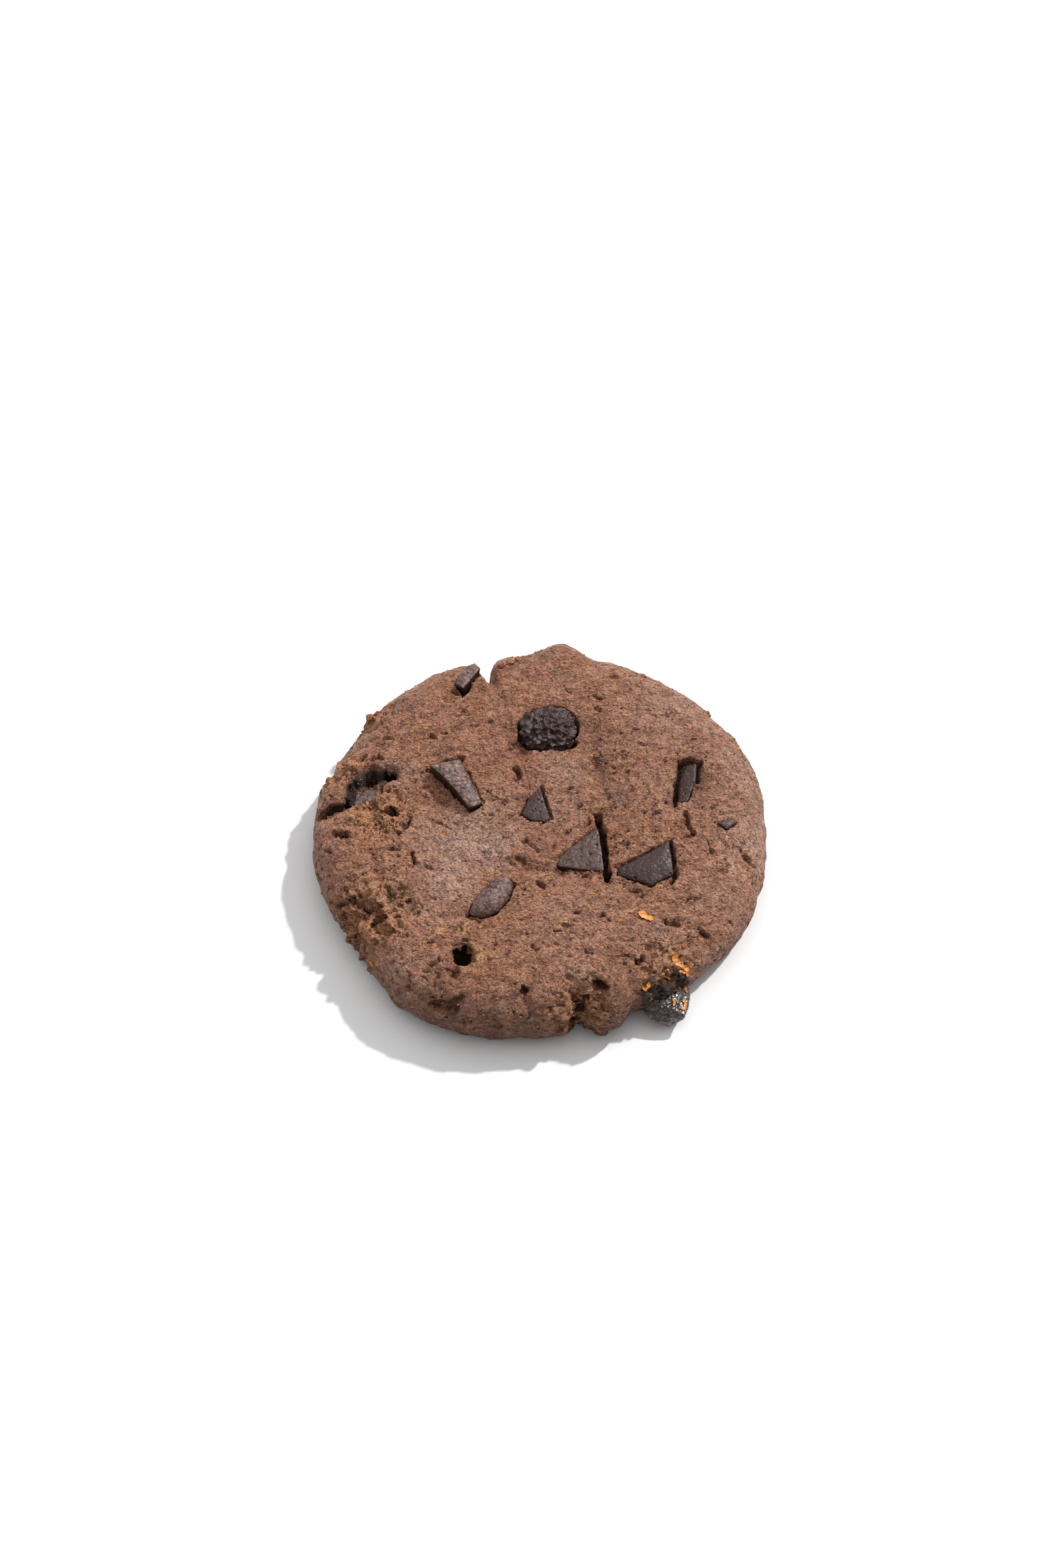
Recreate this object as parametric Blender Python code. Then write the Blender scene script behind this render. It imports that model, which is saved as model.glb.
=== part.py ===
"""A soft-baked cocoa cookie with chunks of dark chocolate and shreds of orange zest.

Metres, +Z up. The origin is in the middle of the flat underside that the cookie rests on.
Sizes and places in the tables below are millimetres, and placed() turns them to metres.
"""
import math

import bmesh
import bpy
from mathutils import Matrix, Vector, bvhtree, noise

MM = 0.001
CENTRING = Vector((0.1, -0.65, 0.0))    # brings the middle of the uneven outline to the origin

# The dough's section: a shallow dome on a rounded rim, over a flat foot
TOP_HEIGHT = 12.2           # where the top meets the shoulder
DOME_RISE = 0.9             # how much higher the middle is
RIM_HEIGHT = 4.9            # height of the widest line of the rim
SHOULDER_WIDTH = 8.6        # how far in the rounding of the top edge reaches
UNDERCUT_WIDTH = 4.6        # how far in the rounding below the rim reaches
TOP_SHARE = 0.60            # share of the mesh that covers the top
FOOT_SHARE = 0.08           # share of the mesh that covers the flat foot

# The outline: radii every 30 degrees from +X, then bumps and notches as (degrees, half width, height)
OUTLINE_CENTRE = (0.0, -2.2)
RIM_RADII = (39.8, 41.2, 41.2, 40.8, 41.3, 40.1, 40.3, 38.3, 40.0, 38.1, 37.4, 38.8)
RIM_MARKS = (
    (84.5, 7.0, 3.3),
    (105.4, 2.3, -5.2),
    (139.5, 1.8, 1.6),
    (22.0, 9.0, 0.4),
    (46.5, 3.0, 0.6),
    (163.0, 6.0, 0.8),
    (231.0, 4.0, 0.5),
    (287.5, 4.5, 1.6),
    (295.5, 2.6, -1.1),
    (304.0, 5.0, 0.8),
)

# Broad swells and dips of the top: (x, y, radius, height)
SWELLS = (
    (21.0, 11.0, 12.0, 1.5),
    (14.0, 29.0, 9.0, 0.5),
    (-15.0, 24.0, 11.0, 0.6),
    (5.0, -24.0, 12.0, 1.3),
    (-14.0, -5.0, 8.0, -1.8),
    (-18.2, 3.8, 3.4, -1.5),
    (-9.0, -13.0, 5.0, -0.8),
    (0.0, 1.5, 6.0, -0.5),
    (6.0, -6.5, 5.0, -0.6),
    (-14.0, -35.0, 8.0, 0.5),
    (32.0, -15.0, 8.0, 0.4),
    (-3.5, 14.0, 2.6, -1.8),
    (6.0, 14.2, 2.2, -1.6),
    (14.8, -5.2, 3.2, 0.8),
    (-31.5, 5.0, 5.0, -1.2),
)

# Folds where one lobe of the dough meets the next: (x, y, x, y, half width, depth)
CREASES = (
    (8.4, 17.5, 9.8, 9.5, 2.6, 1.0),
    (9.8, 9.5, 11.0, -1.0, 2.2, 1.3),
    (-4.8, -11.0, 3.4, -12.6, 1.3, 0.9),
    (3.4, -12.6, 11.6, -14.4, 1.3, 1.0),
    (11.6, -14.4, 18.5, -17.2, 1.3, 0.8),
    (-34.0, 7.4, -30.0, 9.0, 1.2, 1.9),
    (-30.0, 9.0, -25.6, 9.6, 1.3, 2.2),
    (-33.4, 4.6, -38.6, 1.0, 1.2, 1.6),
    (4.6, -33.0, 8.6, -40.4, 1.5, 1.5),
    (35.2, -7.2, 37.0, -12.0, 0.8, 0.7),
)

# Steam holes and small hollows: (x, y, radius, depth)
PITS = (
    (-13.3, -29.6, 1.7, 4.0),
    (-14.8, -32.8, 1.0, 1.6),
    (17.9, -28.8, 1.4, 1.6),
    (9.9, -36.3, 1.3, 1.5),
    (-2.8, -37.3, 1.2, 1.1),
    (-4.0, 9.1, 1.4, 1.0),
    (9.4, 11.4, 1.0, 0.8),
    (13.1, 30.3, 1.1, 0.8),
    (22.5, -23.1, 1.2, 0.9),
    (28.6, -25.9, 1.2, 0.9),
    (26.8, 15.4, 1.2, 0.9),
    (-18.6, 12.0, 1.0, 0.9),
)

# Patches where the skin broke and coarse crumb shows: (x, y, radius, roughness)
CRAGS = (
    (-29.0, -19.5, 7.0, 1.9),
    (-29.5, 0.6, 6.5, 1.2),
    (-31.0, 24.0, 5.0, 1.0),
    (-35.0, 10.5, 4.0, 0.8),
    (7.0, -38.0, 5.0, 1.1),
    (21.0, -30.5, 5.0, 0.9),
    (34.0, -9.0, 5.0, 0.6),
)
SKIN_ROUGHNESS = 0.34       # the even unevenness of the skin
SKIN_GRAIN = 5.5            # size of its lumps
CRAG_GRAIN = 2.6            # size of the crumbs in the broken patches
SKIN_OCTAVES = (1.0, 2.0, 4)    # fractal dimension, spacing and number of octaves
CRAG_OCTAVES = (0.8, 2.0, 3)
CRAG_EDGE = 0.01            # a broken patch ends where its share is this small
CRAG_SINK = 0.35            # how far a broken patch lies below the skin, as a share of its roughness
FOOT_FADE = 0.2             # share of the side, next to the foot, over which the relief dies away
LOWEST_SIDE = 0.02          # the side keeps this far above the flat foot
ABOVE_ALL = 60.0            # a height well above the cookie

# The faceted body's share of the fine mesh that it is worked out on
FINE_LEVEL = 7
KEPT_SHARE = 0.094

GAP = 0.32                  # clearance between a chunk and its pocket
POCKET_FLARE = 0.3          # how much wider a pocket opens at the skin
POCKET_REACH = 6.0          # how far a pocket's cutter stands out of the dough
CORNER_STRETCH = 1.35       # a corner moves out this much further than the edges beside it
LONGEST_EDGE = 3.0          # longer edges of a chunk are split once, so that its top can dome

# Chocolate chunks. Outline corners are (x, y); rise is the height of the top over the skin,
# slope the rise of the top per millimetre along X and Y, taper the bottom's size against the top's
CHUNKS = {
    "chunk_slab": {
        "outline": ((-19.7, 8.9), (-14.2, 10.9), (-10.2, 1.8), (-12.4, 0.5), (-15.6, 4.9), (-17.6, 7.2)),
        "rise": 0.9, "slope": (-0.02, 0.03), "depth": 4.6, "taper": 0.86, "bevel": 0.45, "crown": 0.25,
    },
    "chunk_wedge": {
        "outline": ((-0.1, 5.2), (1.7, -1.5), (0.8, -2.3), (-1.5, -1.9), (-3.4, -0.5), (-2.2, 2.6)),
        "rise": 0.25, "slope": (0.05, 0.03), "depth": 4.0, "taper": 0.8, "bevel": 0.35, "crown": 0.2,
    },
    "chunk_centre": {
        "outline": ((10.0, -3.8), (10.7, -9.0), (10.9, -12.6), (6.6, -12.3), (2.8, -11.7), (2.9, -10.3), (6.2, -6.9)),
        "rise": 0.35, "slope": (-0.02, 0.10), "depth": 4.8, "taper": 0.85, "bevel": 0.4, "crown": 0.15,
    },
    "chunk_right": {
        "outline": ((22.3, -6.6), (23.0, -13.4), (19.0, -15.8), (16.9, -14.8), (13.2, -13.6), (13.3, -12.0),
                    (17.2, -10.0)),
        "rise": 0.35, "slope": (0.03, 0.08), "depth": 4.8, "taper": 0.85, "bevel": 0.45, "crown": 0.45,
    },
    "chunk_almond": {
        "outline": ((-12.6, -21.8), (-10.2, -22.5), (-7.4, -21.4), (-5.4, -18.8), (-4.4, -15.6), (-5.4, -13.9),
                    (-7.4, -13.8), (-10.0, -16.2), (-12.0, -19.2)),
        "rise": 0.3, "slope": (0.02, 0.05), "depth": 4.2, "taper": 0.7, "bevel": 0.8, "crown": 1.5,
    },
    "chunk_slot": {
        "outline": ((25.4, 9.6), (27.6, 10.0), (27.3, 6.4), (25.8, 1.8), (24.0, 1.8), (24.2, 5.4)),
        "rise": -0.7, "slope": (0.10, 0.0), "depth": 4.2, "taper": 0.85, "bevel": 0.35, "crown": 0.15,
    },
    "chunk_slit": {
        "outline": ((30.8, -1.9), (33.2, -0.8), (34.6, -1.2), (32.5, -3.1)),
        "rise": -0.35, "slope": (-0.2, 0.1), "depth": 2.2, "taper": 0.8, "bevel": 0.2, "crown": 0.1,
    },
    "chunk_left_edge": {
        "outline": ((-33.0, 3.0), (-32.6, 5.6), (-30.6, 6.8), (-27.0, 7.0), (-28.3, 5.1), (-30.9, 3.7)),
        "rise": -0.2, "slope": (0.12, 0.05), "depth": 3.4, "taper": 0.85, "bevel": 0.35, "crown": 0.15,
    },
    "chunk_sliver": {
        "outline": ((-13.8, 26.0), (-15.2, 27.3), (-14.8, 29.9), (-13.1, 32.6), (-11.7, 33.5), (-10.7, 31.8),
                    (-12.2, 29.0)),
        "rise": 0.7, "slope": (0.02, -0.26), "depth": 3.2, "taper": 0.8, "bevel": 0.35, "crown": 0.3,
    },
}

# Rough lumps: centre, half sizes along X, Y and Z, turn about Z, depth and size of their wrinkles,
# and how square they are, from 2 for an egg upwards
LUMPS = {
    "chunk_crumbly": {
        "centre": (1.4, 18.7, 11.5), "half": (5.4, 4.5, 3.0), "turn": 10.0, "wrinkle": 1.3, "grain": 2.6,
        "boxy": 2.5,
    },
    "chunk_rim": {
        "centre": (21.9, -34.3, 3.1), "half": (3.7, 3.0, 2.7), "turn": 24.0, "wrinkle": 0.5, "grain": 1.9,
        "boxy": 2.3,
    },
}
WRINKLE_OCTAVES = (0.9, 2.0, 3)
LUMP_LEVEL = 4
LUMP_BED_LEVEL = 3

# Shreds of zest and a seed lying on the dough: the points they follow, width and thickness
FLAKES = (
    {"path": ((22.5, -28.3), (23.5, -29.0), (25.1, -29.2), (25.2, -30.4)), "width": 0.9, "thick": 0.5},
    {"path": ((17.2, -22.4), (18.3, -22.8), (19.6, -22.8)), "width": 1.0, "thick": 0.5},
    {"path": ((18.4, -31.2), (18.4, -32.4), (17.4, -32.7)), "width": 0.8, "thick": 0.5},
    {"path": ((-29.4, -25.5), (-28.6, -25.7)), "width": 0.8, "thick": 0.5},
)


def clear_scene():
    """Remove every object that is already in the scene"""
    for old in list(bpy.data.objects):
        bpy.data.objects.remove(old)


def make_material(name, colour, roughness):
    """A Principled material in one plain finish"""
    material = bpy.data.materials.new(name)
    material.use_nodes = True
    shader = material.node_tree.nodes["Principled BSDF"]
    shader.inputs["Base Color"].default_value = (*colour, 1.0)
    shader.inputs["Roughness"].default_value = roughness
    shader.inputs["Metallic"].default_value = 0.0
    return material


def placed(point):
    """A point of the tables, in millimetres, as metres about the origin"""
    return (Vector(point) + CENTRING) * MM


def rim_radius(angle):
    """The outline's radius: a smooth closed curve through the radii, with its bumps and notches"""
    step = 360.0 / len(RIM_RADII)
    place = (math.degrees(angle) % 360.0) / step
    first = int(place)
    part = place - first
    before, start, end, after = (RIM_RADII[(first + k) % len(RIM_RADII)] for k in (-1, 0, 1, 2))
    radius = start + 0.5 * part * (
        end - before
        + part * (2.0 * before - 5.0 * start + 4.0 * end - after + part * (3.0 * (start - end) + after - before))
    )
    for mark, width, height in RIM_MARKS:
        away = (math.degrees(angle) - mark + 180.0) % 360.0 - 180.0
        radius += height * math.exp(-((away / width) ** 2))
    return radius


def distance_to_line(x, y, start_x, start_y, end_x, end_y):
    """Distance in plan from a point to a straight stretch"""
    along_x = end_x - start_x
    along_y = end_y - start_y
    share = ((x - start_x) * along_x + (y - start_y) * along_y) / (along_x ** 2 + along_y ** 2)
    share = min(1.0, max(0.0, share))
    return math.hypot(x - start_x - share * along_x, y - start_y - share * along_y)


def relief(x, y, z):
    """Height of the baked surface over the plain form, in millimetres"""
    place = Vector((x, y, z))
    height = SKIN_ROUGHNESS * noise.fractal(place / SKIN_GRAIN, *SKIN_OCTAVES)
    for mid_x, mid_y, radius, rise in SWELLS:
        height += rise * math.exp(-((x - mid_x) ** 2 + (y - mid_y) ** 2) / radius ** 2)
    for start_x, start_y, end_x, end_y, width, depth in CREASES:
        away = distance_to_line(x, y, start_x, start_y, end_x, end_y) / width
        height -= depth * math.exp(-away ** 2)
    for mid_x, mid_y, radius, depth in PITS:
        away = math.hypot(x - mid_x, y - mid_y) / radius
        height -= depth * math.exp(-away ** 4)
    for mid_x, mid_y, radius, rough in CRAGS:
        share = math.exp(-(((x - mid_x) ** 2 + (y - mid_y) ** 2) / radius ** 2) ** 2)
        if share > CRAG_EDGE:
            crumb = noise.fractal(place / CRAG_GRAIN, *CRAG_OCTAVES)
            height += share * rough * (crumb - CRAG_SINK)
    return height


def dough_point(direction):
    """Where a point of the unit sphere lands on the baked surface"""
    angle = math.atan2(direction.y, direction.x)
    rim = rim_radius(angle)
    cover = (1.0 - direction.z) / 2.0
    if cover <= TOP_SHARE:
        share = math.sqrt(cover / TOP_SHARE)
        out = (rim - SHOULDER_WIDTH) * share
        z = TOP_HEIGHT + DOME_RISE * (1.0 - share ** 2)
        lean = 90.0
        hold = 1.0
    elif cover <= 1.0 - FOOT_SHARE:
        share = (cover - TOP_SHARE) / (1.0 - FOOT_SHARE - TOP_SHARE)
        lean = 90.0 - 180.0 * share
        turn = math.radians(lean)
        width = SHOULDER_WIDTH if lean > 0.0 else UNDERCUT_WIDTH
        rise = TOP_HEIGHT - RIM_HEIGHT if lean > 0.0 else RIM_HEIGHT
        out = rim - width + width * math.cos(turn)
        z = RIM_HEIGHT + rise * math.sin(turn)
        hold = min(1.0, (1.0 - share) / FOOT_FADE)
    else:
        out = (rim - UNDERCUT_WIDTH) * math.sqrt((1.0 - cover) / FOOT_SHARE)
        z = 0.0
        lean = -90.0
        hold = 0.0
    x = OUTLINE_CENTRE[0] + out * math.cos(angle)
    y = OUTLINE_CENTRE[1] + out * math.sin(angle)
    if hold > 0.0:
        lift = relief(x, y, z) * hold
        side = math.cos(math.radians(lean)) * lift
        x += side * math.cos(angle)
        y += side * math.sin(angle)
        z = max(LOWEST_SIDE, z + math.sin(math.radians(lean)) * lift)
    return placed((x, y, z))


def new_object(name, mesh, material, collection):
    """An object in its collection, with its one material"""
    item = bpy.data.objects.new(name, mesh)
    if material is not None:
        mesh.materials.append(material)
    collection.objects.link(item)
    return item


def mesh_from(name, shape):
    """A mesh data block from a finished bmesh"""
    bmesh.ops.recalc_face_normals(shape, faces=shape.faces)
    mesh = bpy.data.meshes.new(name)
    shape.to_mesh(mesh)
    shape.free()
    return mesh


def apply_modifiers(item):
    """Replace an object's mesh by what its modifiers make of it"""
    bpy.context.view_layer.update()
    graph = bpy.context.evaluated_depsgraph_get()
    result = bpy.data.meshes.new_from_object(item.evaluated_get(graph))
    item.modifiers.clear()
    old = item.data
    item.data = result
    bpy.data.meshes.remove(old)


def make_dough(material, collection):
    """The baked body on a fine mesh, and a tree that finds its surface"""
    shape = bmesh.new()
    bmesh.ops.create_icosphere(shape, subdivisions=FINE_LEVEL, radius=1.0)
    for vert in shape.verts:
        vert.co = dough_point(vert.co.normalized())
    surface = bvhtree.BVHTree.FromBMesh(shape)
    dough = new_object("dough", mesh_from("dough", shape), material, collection)
    thin = dough.modifiers.new("thin", "DECIMATE")
    thin.ratio = KEPT_SHARE
    apply_modifiers(dough)
    return dough, surface


def skin_height(surface, x, y):
    """Height of the baked skin over a plan point, in millimetres"""
    start = placed((x, y, ABOVE_ALL))
    hit = surface.ray_cast(start, Vector((0.0, 0.0, -1.0)))[0]
    return hit.z / MM


def middle_of(outline):
    """Mean of an outline's corners"""
    count = len(outline)
    return sum(x for x, y in outline) / count, sum(y for x, y in outline) / count


def grown(outline, amount):
    """An outline with every corner moved out from its middle by about the amount"""
    mid_x, mid_y = middle_of(outline)
    corners = []
    for x, y in outline:
        length = math.hypot(x - mid_x, y - mid_y)
        scale = 1.0 + CORNER_STRETCH * amount / length
        corners.append((mid_x + (x - mid_x) * scale, mid_y + (y - mid_y) * scale))
    return corners


def prism(outline, top, slope, depth, taper):
    """A closed block under a sloped outline, as a bmesh in millimetres"""
    mid_x, mid_y = middle_of(outline)
    shape = bmesh.new()
    corners = []
    for x, y in outline:
        z = top + slope[0] * (x - mid_x) + slope[1] * (y - mid_y)
        corners.append(shape.verts.new((x, y, z)))
    lid = shape.faces.new(corners)
    grown_region = bmesh.ops.extrude_face_region(shape, geom=[lid], use_keep_orig=True)
    for vert in (part for part in grown_region["geom"] if isinstance(part, bmesh.types.BMVert)):
        vert.co.x = mid_x + (vert.co.x - mid_x) * taper
        vert.co.y = mid_y + (vert.co.y - mid_y) * taper
        vert.co.z -= depth
    bmesh.ops.recalc_face_normals(shape, faces=shape.faces)
    return shape


def make_chunk(name, spec, surface, material, collection):
    """One broken piece of a chocolate bar, with worn edges and a slightly domed top"""
    mid_x, mid_y = middle_of(spec["outline"])
    top = skin_height(surface, mid_x, mid_y) + spec["rise"]
    shape = prism(spec["outline"], top, spec["slope"], spec["depth"], spec["taper"])
    bmesh.ops.bevel(
        shape, geom=shape.edges[:], offset=spec["bevel"], offset_type="OFFSET", segments=2, profile=0.6,
        affect="EDGES", clamp_overlap=True,
    )
    bmesh.ops.triangulate(shape, faces=[face for face in shape.faces if len(face.verts) > 4])
    long_edges = [edge for edge in shape.edges if edge.calc_length() > LONGEST_EDGE]
    bmesh.ops.subdivide_edges(shape, edges=long_edges, cuts=1)
    bmesh.ops.triangulate(shape, faces=shape.faces[:])
    reach = max(math.hypot(x - mid_x, y - mid_y) for x, y in spec["outline"])
    for vert in shape.verts:
        away = math.hypot(vert.co.x - mid_x, vert.co.y - mid_y) / reach
        local_top = top + spec["slope"][0] * (vert.co.x - mid_x) + spec["slope"][1] * (vert.co.y - mid_y)
        near_top = max(0.0, 1.0 - (local_top - vert.co.z) / spec["depth"])
        vert.co.z += spec["crown"] * max(0.0, 1.0 - away ** 2) * near_top
        vert.co = placed(vert.co)
    return new_object(name, mesh_from(name, shape), material, collection)


def pocket_for(name, spec, surface, collection):
    """The cutter that leaves a chunk its bed in the dough, wider at the skin"""
    mid_x, mid_y = middle_of(spec["outline"])
    top = skin_height(surface, mid_x, mid_y) + spec["rise"]
    bed = grown(spec["outline"], GAP + POCKET_FLARE)
    mouth_depth = spec["depth"] + GAP + POCKET_REACH
    narrow = (1.0 + spec["taper"]) / 2.0
    shape = prism(bed, top + POCKET_REACH, spec["slope"], mouth_depth, narrow)
    for vert in shape.verts:
        vert.co = placed(vert.co)
    cutter = new_object(name + "_pocket", mesh_from(name + "_pocket", shape), None, collection)
    cutter.hide_render = True
    cutter.display_type = "WIRE"
    return cutter


def lump_shape(spec, extra, level, wrinkled):
    """A rough lump as a bmesh in metres, grown by an extra thickness"""
    shape = bmesh.new()
    bmesh.ops.create_icosphere(shape, subdivisions=level, radius=1.0)
    turn = Matrix.Rotation(math.radians(spec["turn"]), 3, "Z")
    half = Vector(spec["half"]) + Vector((extra, extra, extra))
    centre = Vector(spec["centre"])
    for vert in shape.verts:
        out = vert.co.normalized()
        square = sum(abs(part) ** spec["boxy"] for part in out) ** (-1.0 / spec["boxy"])
        body = Vector((out.x * half.x, out.y * half.y, out.z * half.z)) * square
        if wrinkled:
            fold = abs(noise.fractal(body / spec["grain"] + centre, *WRINKLE_OCTAVES))
            body -= out * spec["wrinkle"] * fold
        vert.co = placed(centre + turn @ body)
    return shape


def make_lump(name, spec, material, collection):
    """A crumbly or wrinkled lump of chocolate"""
    shape = lump_shape(spec, 0.0, LUMP_LEVEL, True)
    return new_object(name, mesh_from(name, shape), material, collection)


def lump_pocket(name, spec, collection):
    """The bed that a lump leaves in the dough"""
    shape = lump_shape(spec, GAP, LUMP_BED_LEVEL, False)
    cutter = new_object(name + "_pocket", mesh_from(name + "_pocket", shape), None, collection)
    cutter.hide_render = True
    cutter.display_type = "WIRE"
    return cutter


def make_flake(number, spec, surface, collection):
    """A thin shred along its path, half sunk in the skin"""
    shape = bmesh.new()
    path = [Vector((x, y, skin_height(surface, x, y))) for x, y in spec["path"]]
    rings = []
    for place, point in enumerate(path):
        ahead = path[min(place + 1, len(path) - 1)] - path[max(place - 1, 0)]
        side = Vector((-ahead.y, ahead.x, 0.0)).normalized()
        ends = place in (0, len(path) - 1)
        half = spec["width"] * (0.3 if ends else 0.5)
        thick = spec["thick"]
        corners = (side * half, side * half * 0.6 + Vector((0, 0, thick)), -side * half * 0.6
                   + Vector((0, 0, thick)), -side * half, Vector((0, 0, -thick)))
        rings.append([shape.verts.new(placed(point + corner)) for corner in corners])
    for ring, following in zip(rings, rings[1:]):
        for k in range(len(ring)):
            after = (k + 1) % len(ring)
            shape.faces.new((ring[k], ring[after], following[after], following[k]))
    shape.faces.new(rings[0][::-1])
    shape.faces.new(rings[-1])
    bmesh.ops.triangulate(shape, faces=shape.faces[:])
    name = f"flake_{number}"
    return new_object(name, mesh_from(name, shape), None, collection)


def join_flakes(dough, surface, collection):
    """Fuse the shreds to the dough, and remove their separate objects"""
    for number, spec in enumerate(FLAKES):
        make_flake(number, spec, surface, collection)
    union = dough.modifiers.new("shreds", "BOOLEAN")
    union.operation = "UNION"
    union.operand_type = "COLLECTION"
    union.collection = collection
    apply_modifiers(dough)
    for flake in list(collection.objects):
        bpy.data.objects.remove(flake)


def main():
    clear_scene()
    root = bpy.context.scene.collection
    cookie = bpy.data.collections.new("cookie")
    cutters = bpy.data.collections.new("cutters")
    shreds = bpy.data.collections.new("shreds")
    for collection in (cookie, cutters, shreds):
        root.children.link(collection)
    crumb = make_material("baked_dough", (0.20, 0.085, 0.05), 0.75)
    dark = make_material("dark_chocolate", (0.045, 0.028, 0.026), 0.5)
    glossy = make_material("melted_chocolate", (0.012, 0.010, 0.011), 0.25)
    dough, surface = make_dough(crumb, cookie)
    join_flakes(dough, surface, shreds)
    for name, spec in CHUNKS.items():
        make_chunk(name, spec, surface, dark, cookie)
        pocket_for(name, spec, surface, cutters)
    for name, spec in LUMPS.items():
        make_lump(name, spec, glossy if name == "chunk_rim" else dark, cookie)
        lump_pocket(name, spec, cutters)
    beds = dough.modifiers.new("beds", "BOOLEAN")
    beds.operation = "DIFFERENCE"
    beds.operand_type = "COLLECTION"
    beds.collection = cutters


main()
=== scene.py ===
"""The looks of a soft-baked cocoa cookie with chocolate chunks and orange zest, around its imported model.

Metres, +Z up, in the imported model's frame. Sizes and places in the tables are millimetres, and placed()
turns them to metres about the origin.
"""
import math

import bmesh
import bpy
import numpy as np
from mathutils import Matrix, Vector, bvhtree, kdtree, noise


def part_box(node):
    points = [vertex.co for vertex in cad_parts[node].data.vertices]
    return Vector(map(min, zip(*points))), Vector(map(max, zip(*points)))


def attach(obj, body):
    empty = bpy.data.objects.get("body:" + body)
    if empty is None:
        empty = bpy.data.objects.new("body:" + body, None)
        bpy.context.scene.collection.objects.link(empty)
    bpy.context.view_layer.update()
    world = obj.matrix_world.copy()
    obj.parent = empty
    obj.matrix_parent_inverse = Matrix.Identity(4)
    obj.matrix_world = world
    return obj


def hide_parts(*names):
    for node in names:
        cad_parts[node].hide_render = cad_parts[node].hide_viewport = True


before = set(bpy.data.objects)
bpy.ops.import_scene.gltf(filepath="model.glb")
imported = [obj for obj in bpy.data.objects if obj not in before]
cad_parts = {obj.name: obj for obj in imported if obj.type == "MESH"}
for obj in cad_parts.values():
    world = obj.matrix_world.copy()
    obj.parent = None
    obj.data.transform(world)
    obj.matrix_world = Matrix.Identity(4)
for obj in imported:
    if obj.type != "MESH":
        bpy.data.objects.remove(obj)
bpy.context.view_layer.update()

bl_info = {
    "name": "Chocolate Chunk Cookie",
    "version": (1, 0, 0),
    "blender": (4, 5, 0),
    "location": "3D View > Sidebar > Cookie",
    "description": "Bakes a soft cocoa cookie with broken chocolate, zest and crumbs",
    "category": "Add Mesh",
}

MM = 0.001
CENTRING = Vector((0.1, -0.65, 0.0))    # brings the middle of the uneven outline to the origin

# The dough's section: a shallow dome on a rounded rim, over a flat foot
TOP_HEIGHT = 12.2
DOME_RISE = 0.9
RIM_HEIGHT = 4.9
SHOULDER_WIDTH = 8.6
UNDERCUT_WIDTH = 4.6
TOP_SHARE = 0.56
FOOT_SHARE = 0.04

# The outline: radii every 30 degrees from +X, then bumps and notches as (degrees, half width, height)
OUTLINE_CENTRE = (0.0, -2.2)
RIM_RADII = (39.8, 41.2, 41.2, 40.8, 41.3, 40.1, 40.3, 38.3, 40.0, 38.1, 37.4, 38.8)
RIM_MARKS = (
    (84.5, 7.0, 3.3),
    (105.4, 2.3, -5.2),
    (139.5, 1.8, 1.6),
    (22.0, 9.0, 0.4),
    (46.5, 3.0, 0.6),
    (163.0, 6.0, 0.8),
    (231.0, 4.0, 0.5),
    (287.5, 4.5, 1.6),
    (295.5, 2.6, -1.1),
    (304.0, 5.0, 0.8),
)

# Broad swells and dips of the top: (x, y, radius, height)
SWELLS = (
    (21.0, 11.0, 12.0, 1.5),
    (14.0, 29.0, 9.0, 0.5),
    (-15.0, 24.0, 11.0, 0.6),
    (5.0, -24.0, 12.0, 1.3),
    (-14.0, -5.0, 8.0, -1.8),
    (-18.2, 3.8, 3.4, -1.5),
    (-9.0, -13.0, 5.0, -0.8),
    (0.0, 1.5, 6.0, -0.5),
    (6.0, -6.5, 5.0, -0.6),
    (-14.0, -35.0, 8.0, 0.5),
    (32.0, -15.0, 8.0, 0.4),
    (-3.5, 14.0, 2.6, -1.8),
    (6.0, 14.2, 2.2, -1.6),
    (14.8, -5.2, 3.2, 0.8),
    (-31.5, 5.0, 5.0, -1.2),
)

# Folds where one lobe of the dough meets the next: (x, y, x, y, half width, depth)
CREASES = (
    (8.4, 17.5, 9.8, 9.5, 2.6, 1.0),
    (9.8, 9.5, 11.0, -1.0, 2.2, 1.3),
    (-4.8, -11.0, 3.4, -12.6, 1.3, 0.9),
    (3.4, -12.6, 11.6, -14.4, 1.3, 1.0),
    (11.6, -14.4, 18.5, -17.2, 1.3, 0.8),
    (-34.0, 7.4, -30.0, 9.0, 1.2, 1.9),
    (-30.0, 9.0, -26.4, 9.0, 1.2, 2.0),
    (-33.4, 4.6, -38.4, 1.8, 1.2, 1.5),
    (6.2, -36.0, 8.0, -40.4, 1.5, 1.5),
    (35.2, -7.2, 37.0, -12.0, 0.8, 0.7),
)

# Steam holes and small hollows: (x, y, radius, depth)
PITS = (
    (-13.3, -29.6, 1.7, 4.0),
    (-14.8, -32.8, 1.0, 1.6),
    (17.9, -28.8, 1.4, 0.4),
    (9.9, -36.3, 1.3, 0.8),
    (-2.8, -37.3, 1.2, 0.4),
    (-4.0, 9.1, 1.4, 0.5),
    (9.4, 11.4, 1.0, 0.4),
    (13.1, 30.3, 1.1, 0.3),
    (22.5, -23.1, 1.2, 0.3),
    (28.6, -25.9, 1.2, 0.3),
    (26.8, 15.4, 1.2, 0.4),
    (-18.6, 12.0, 1.0, 0.5),
)

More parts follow.
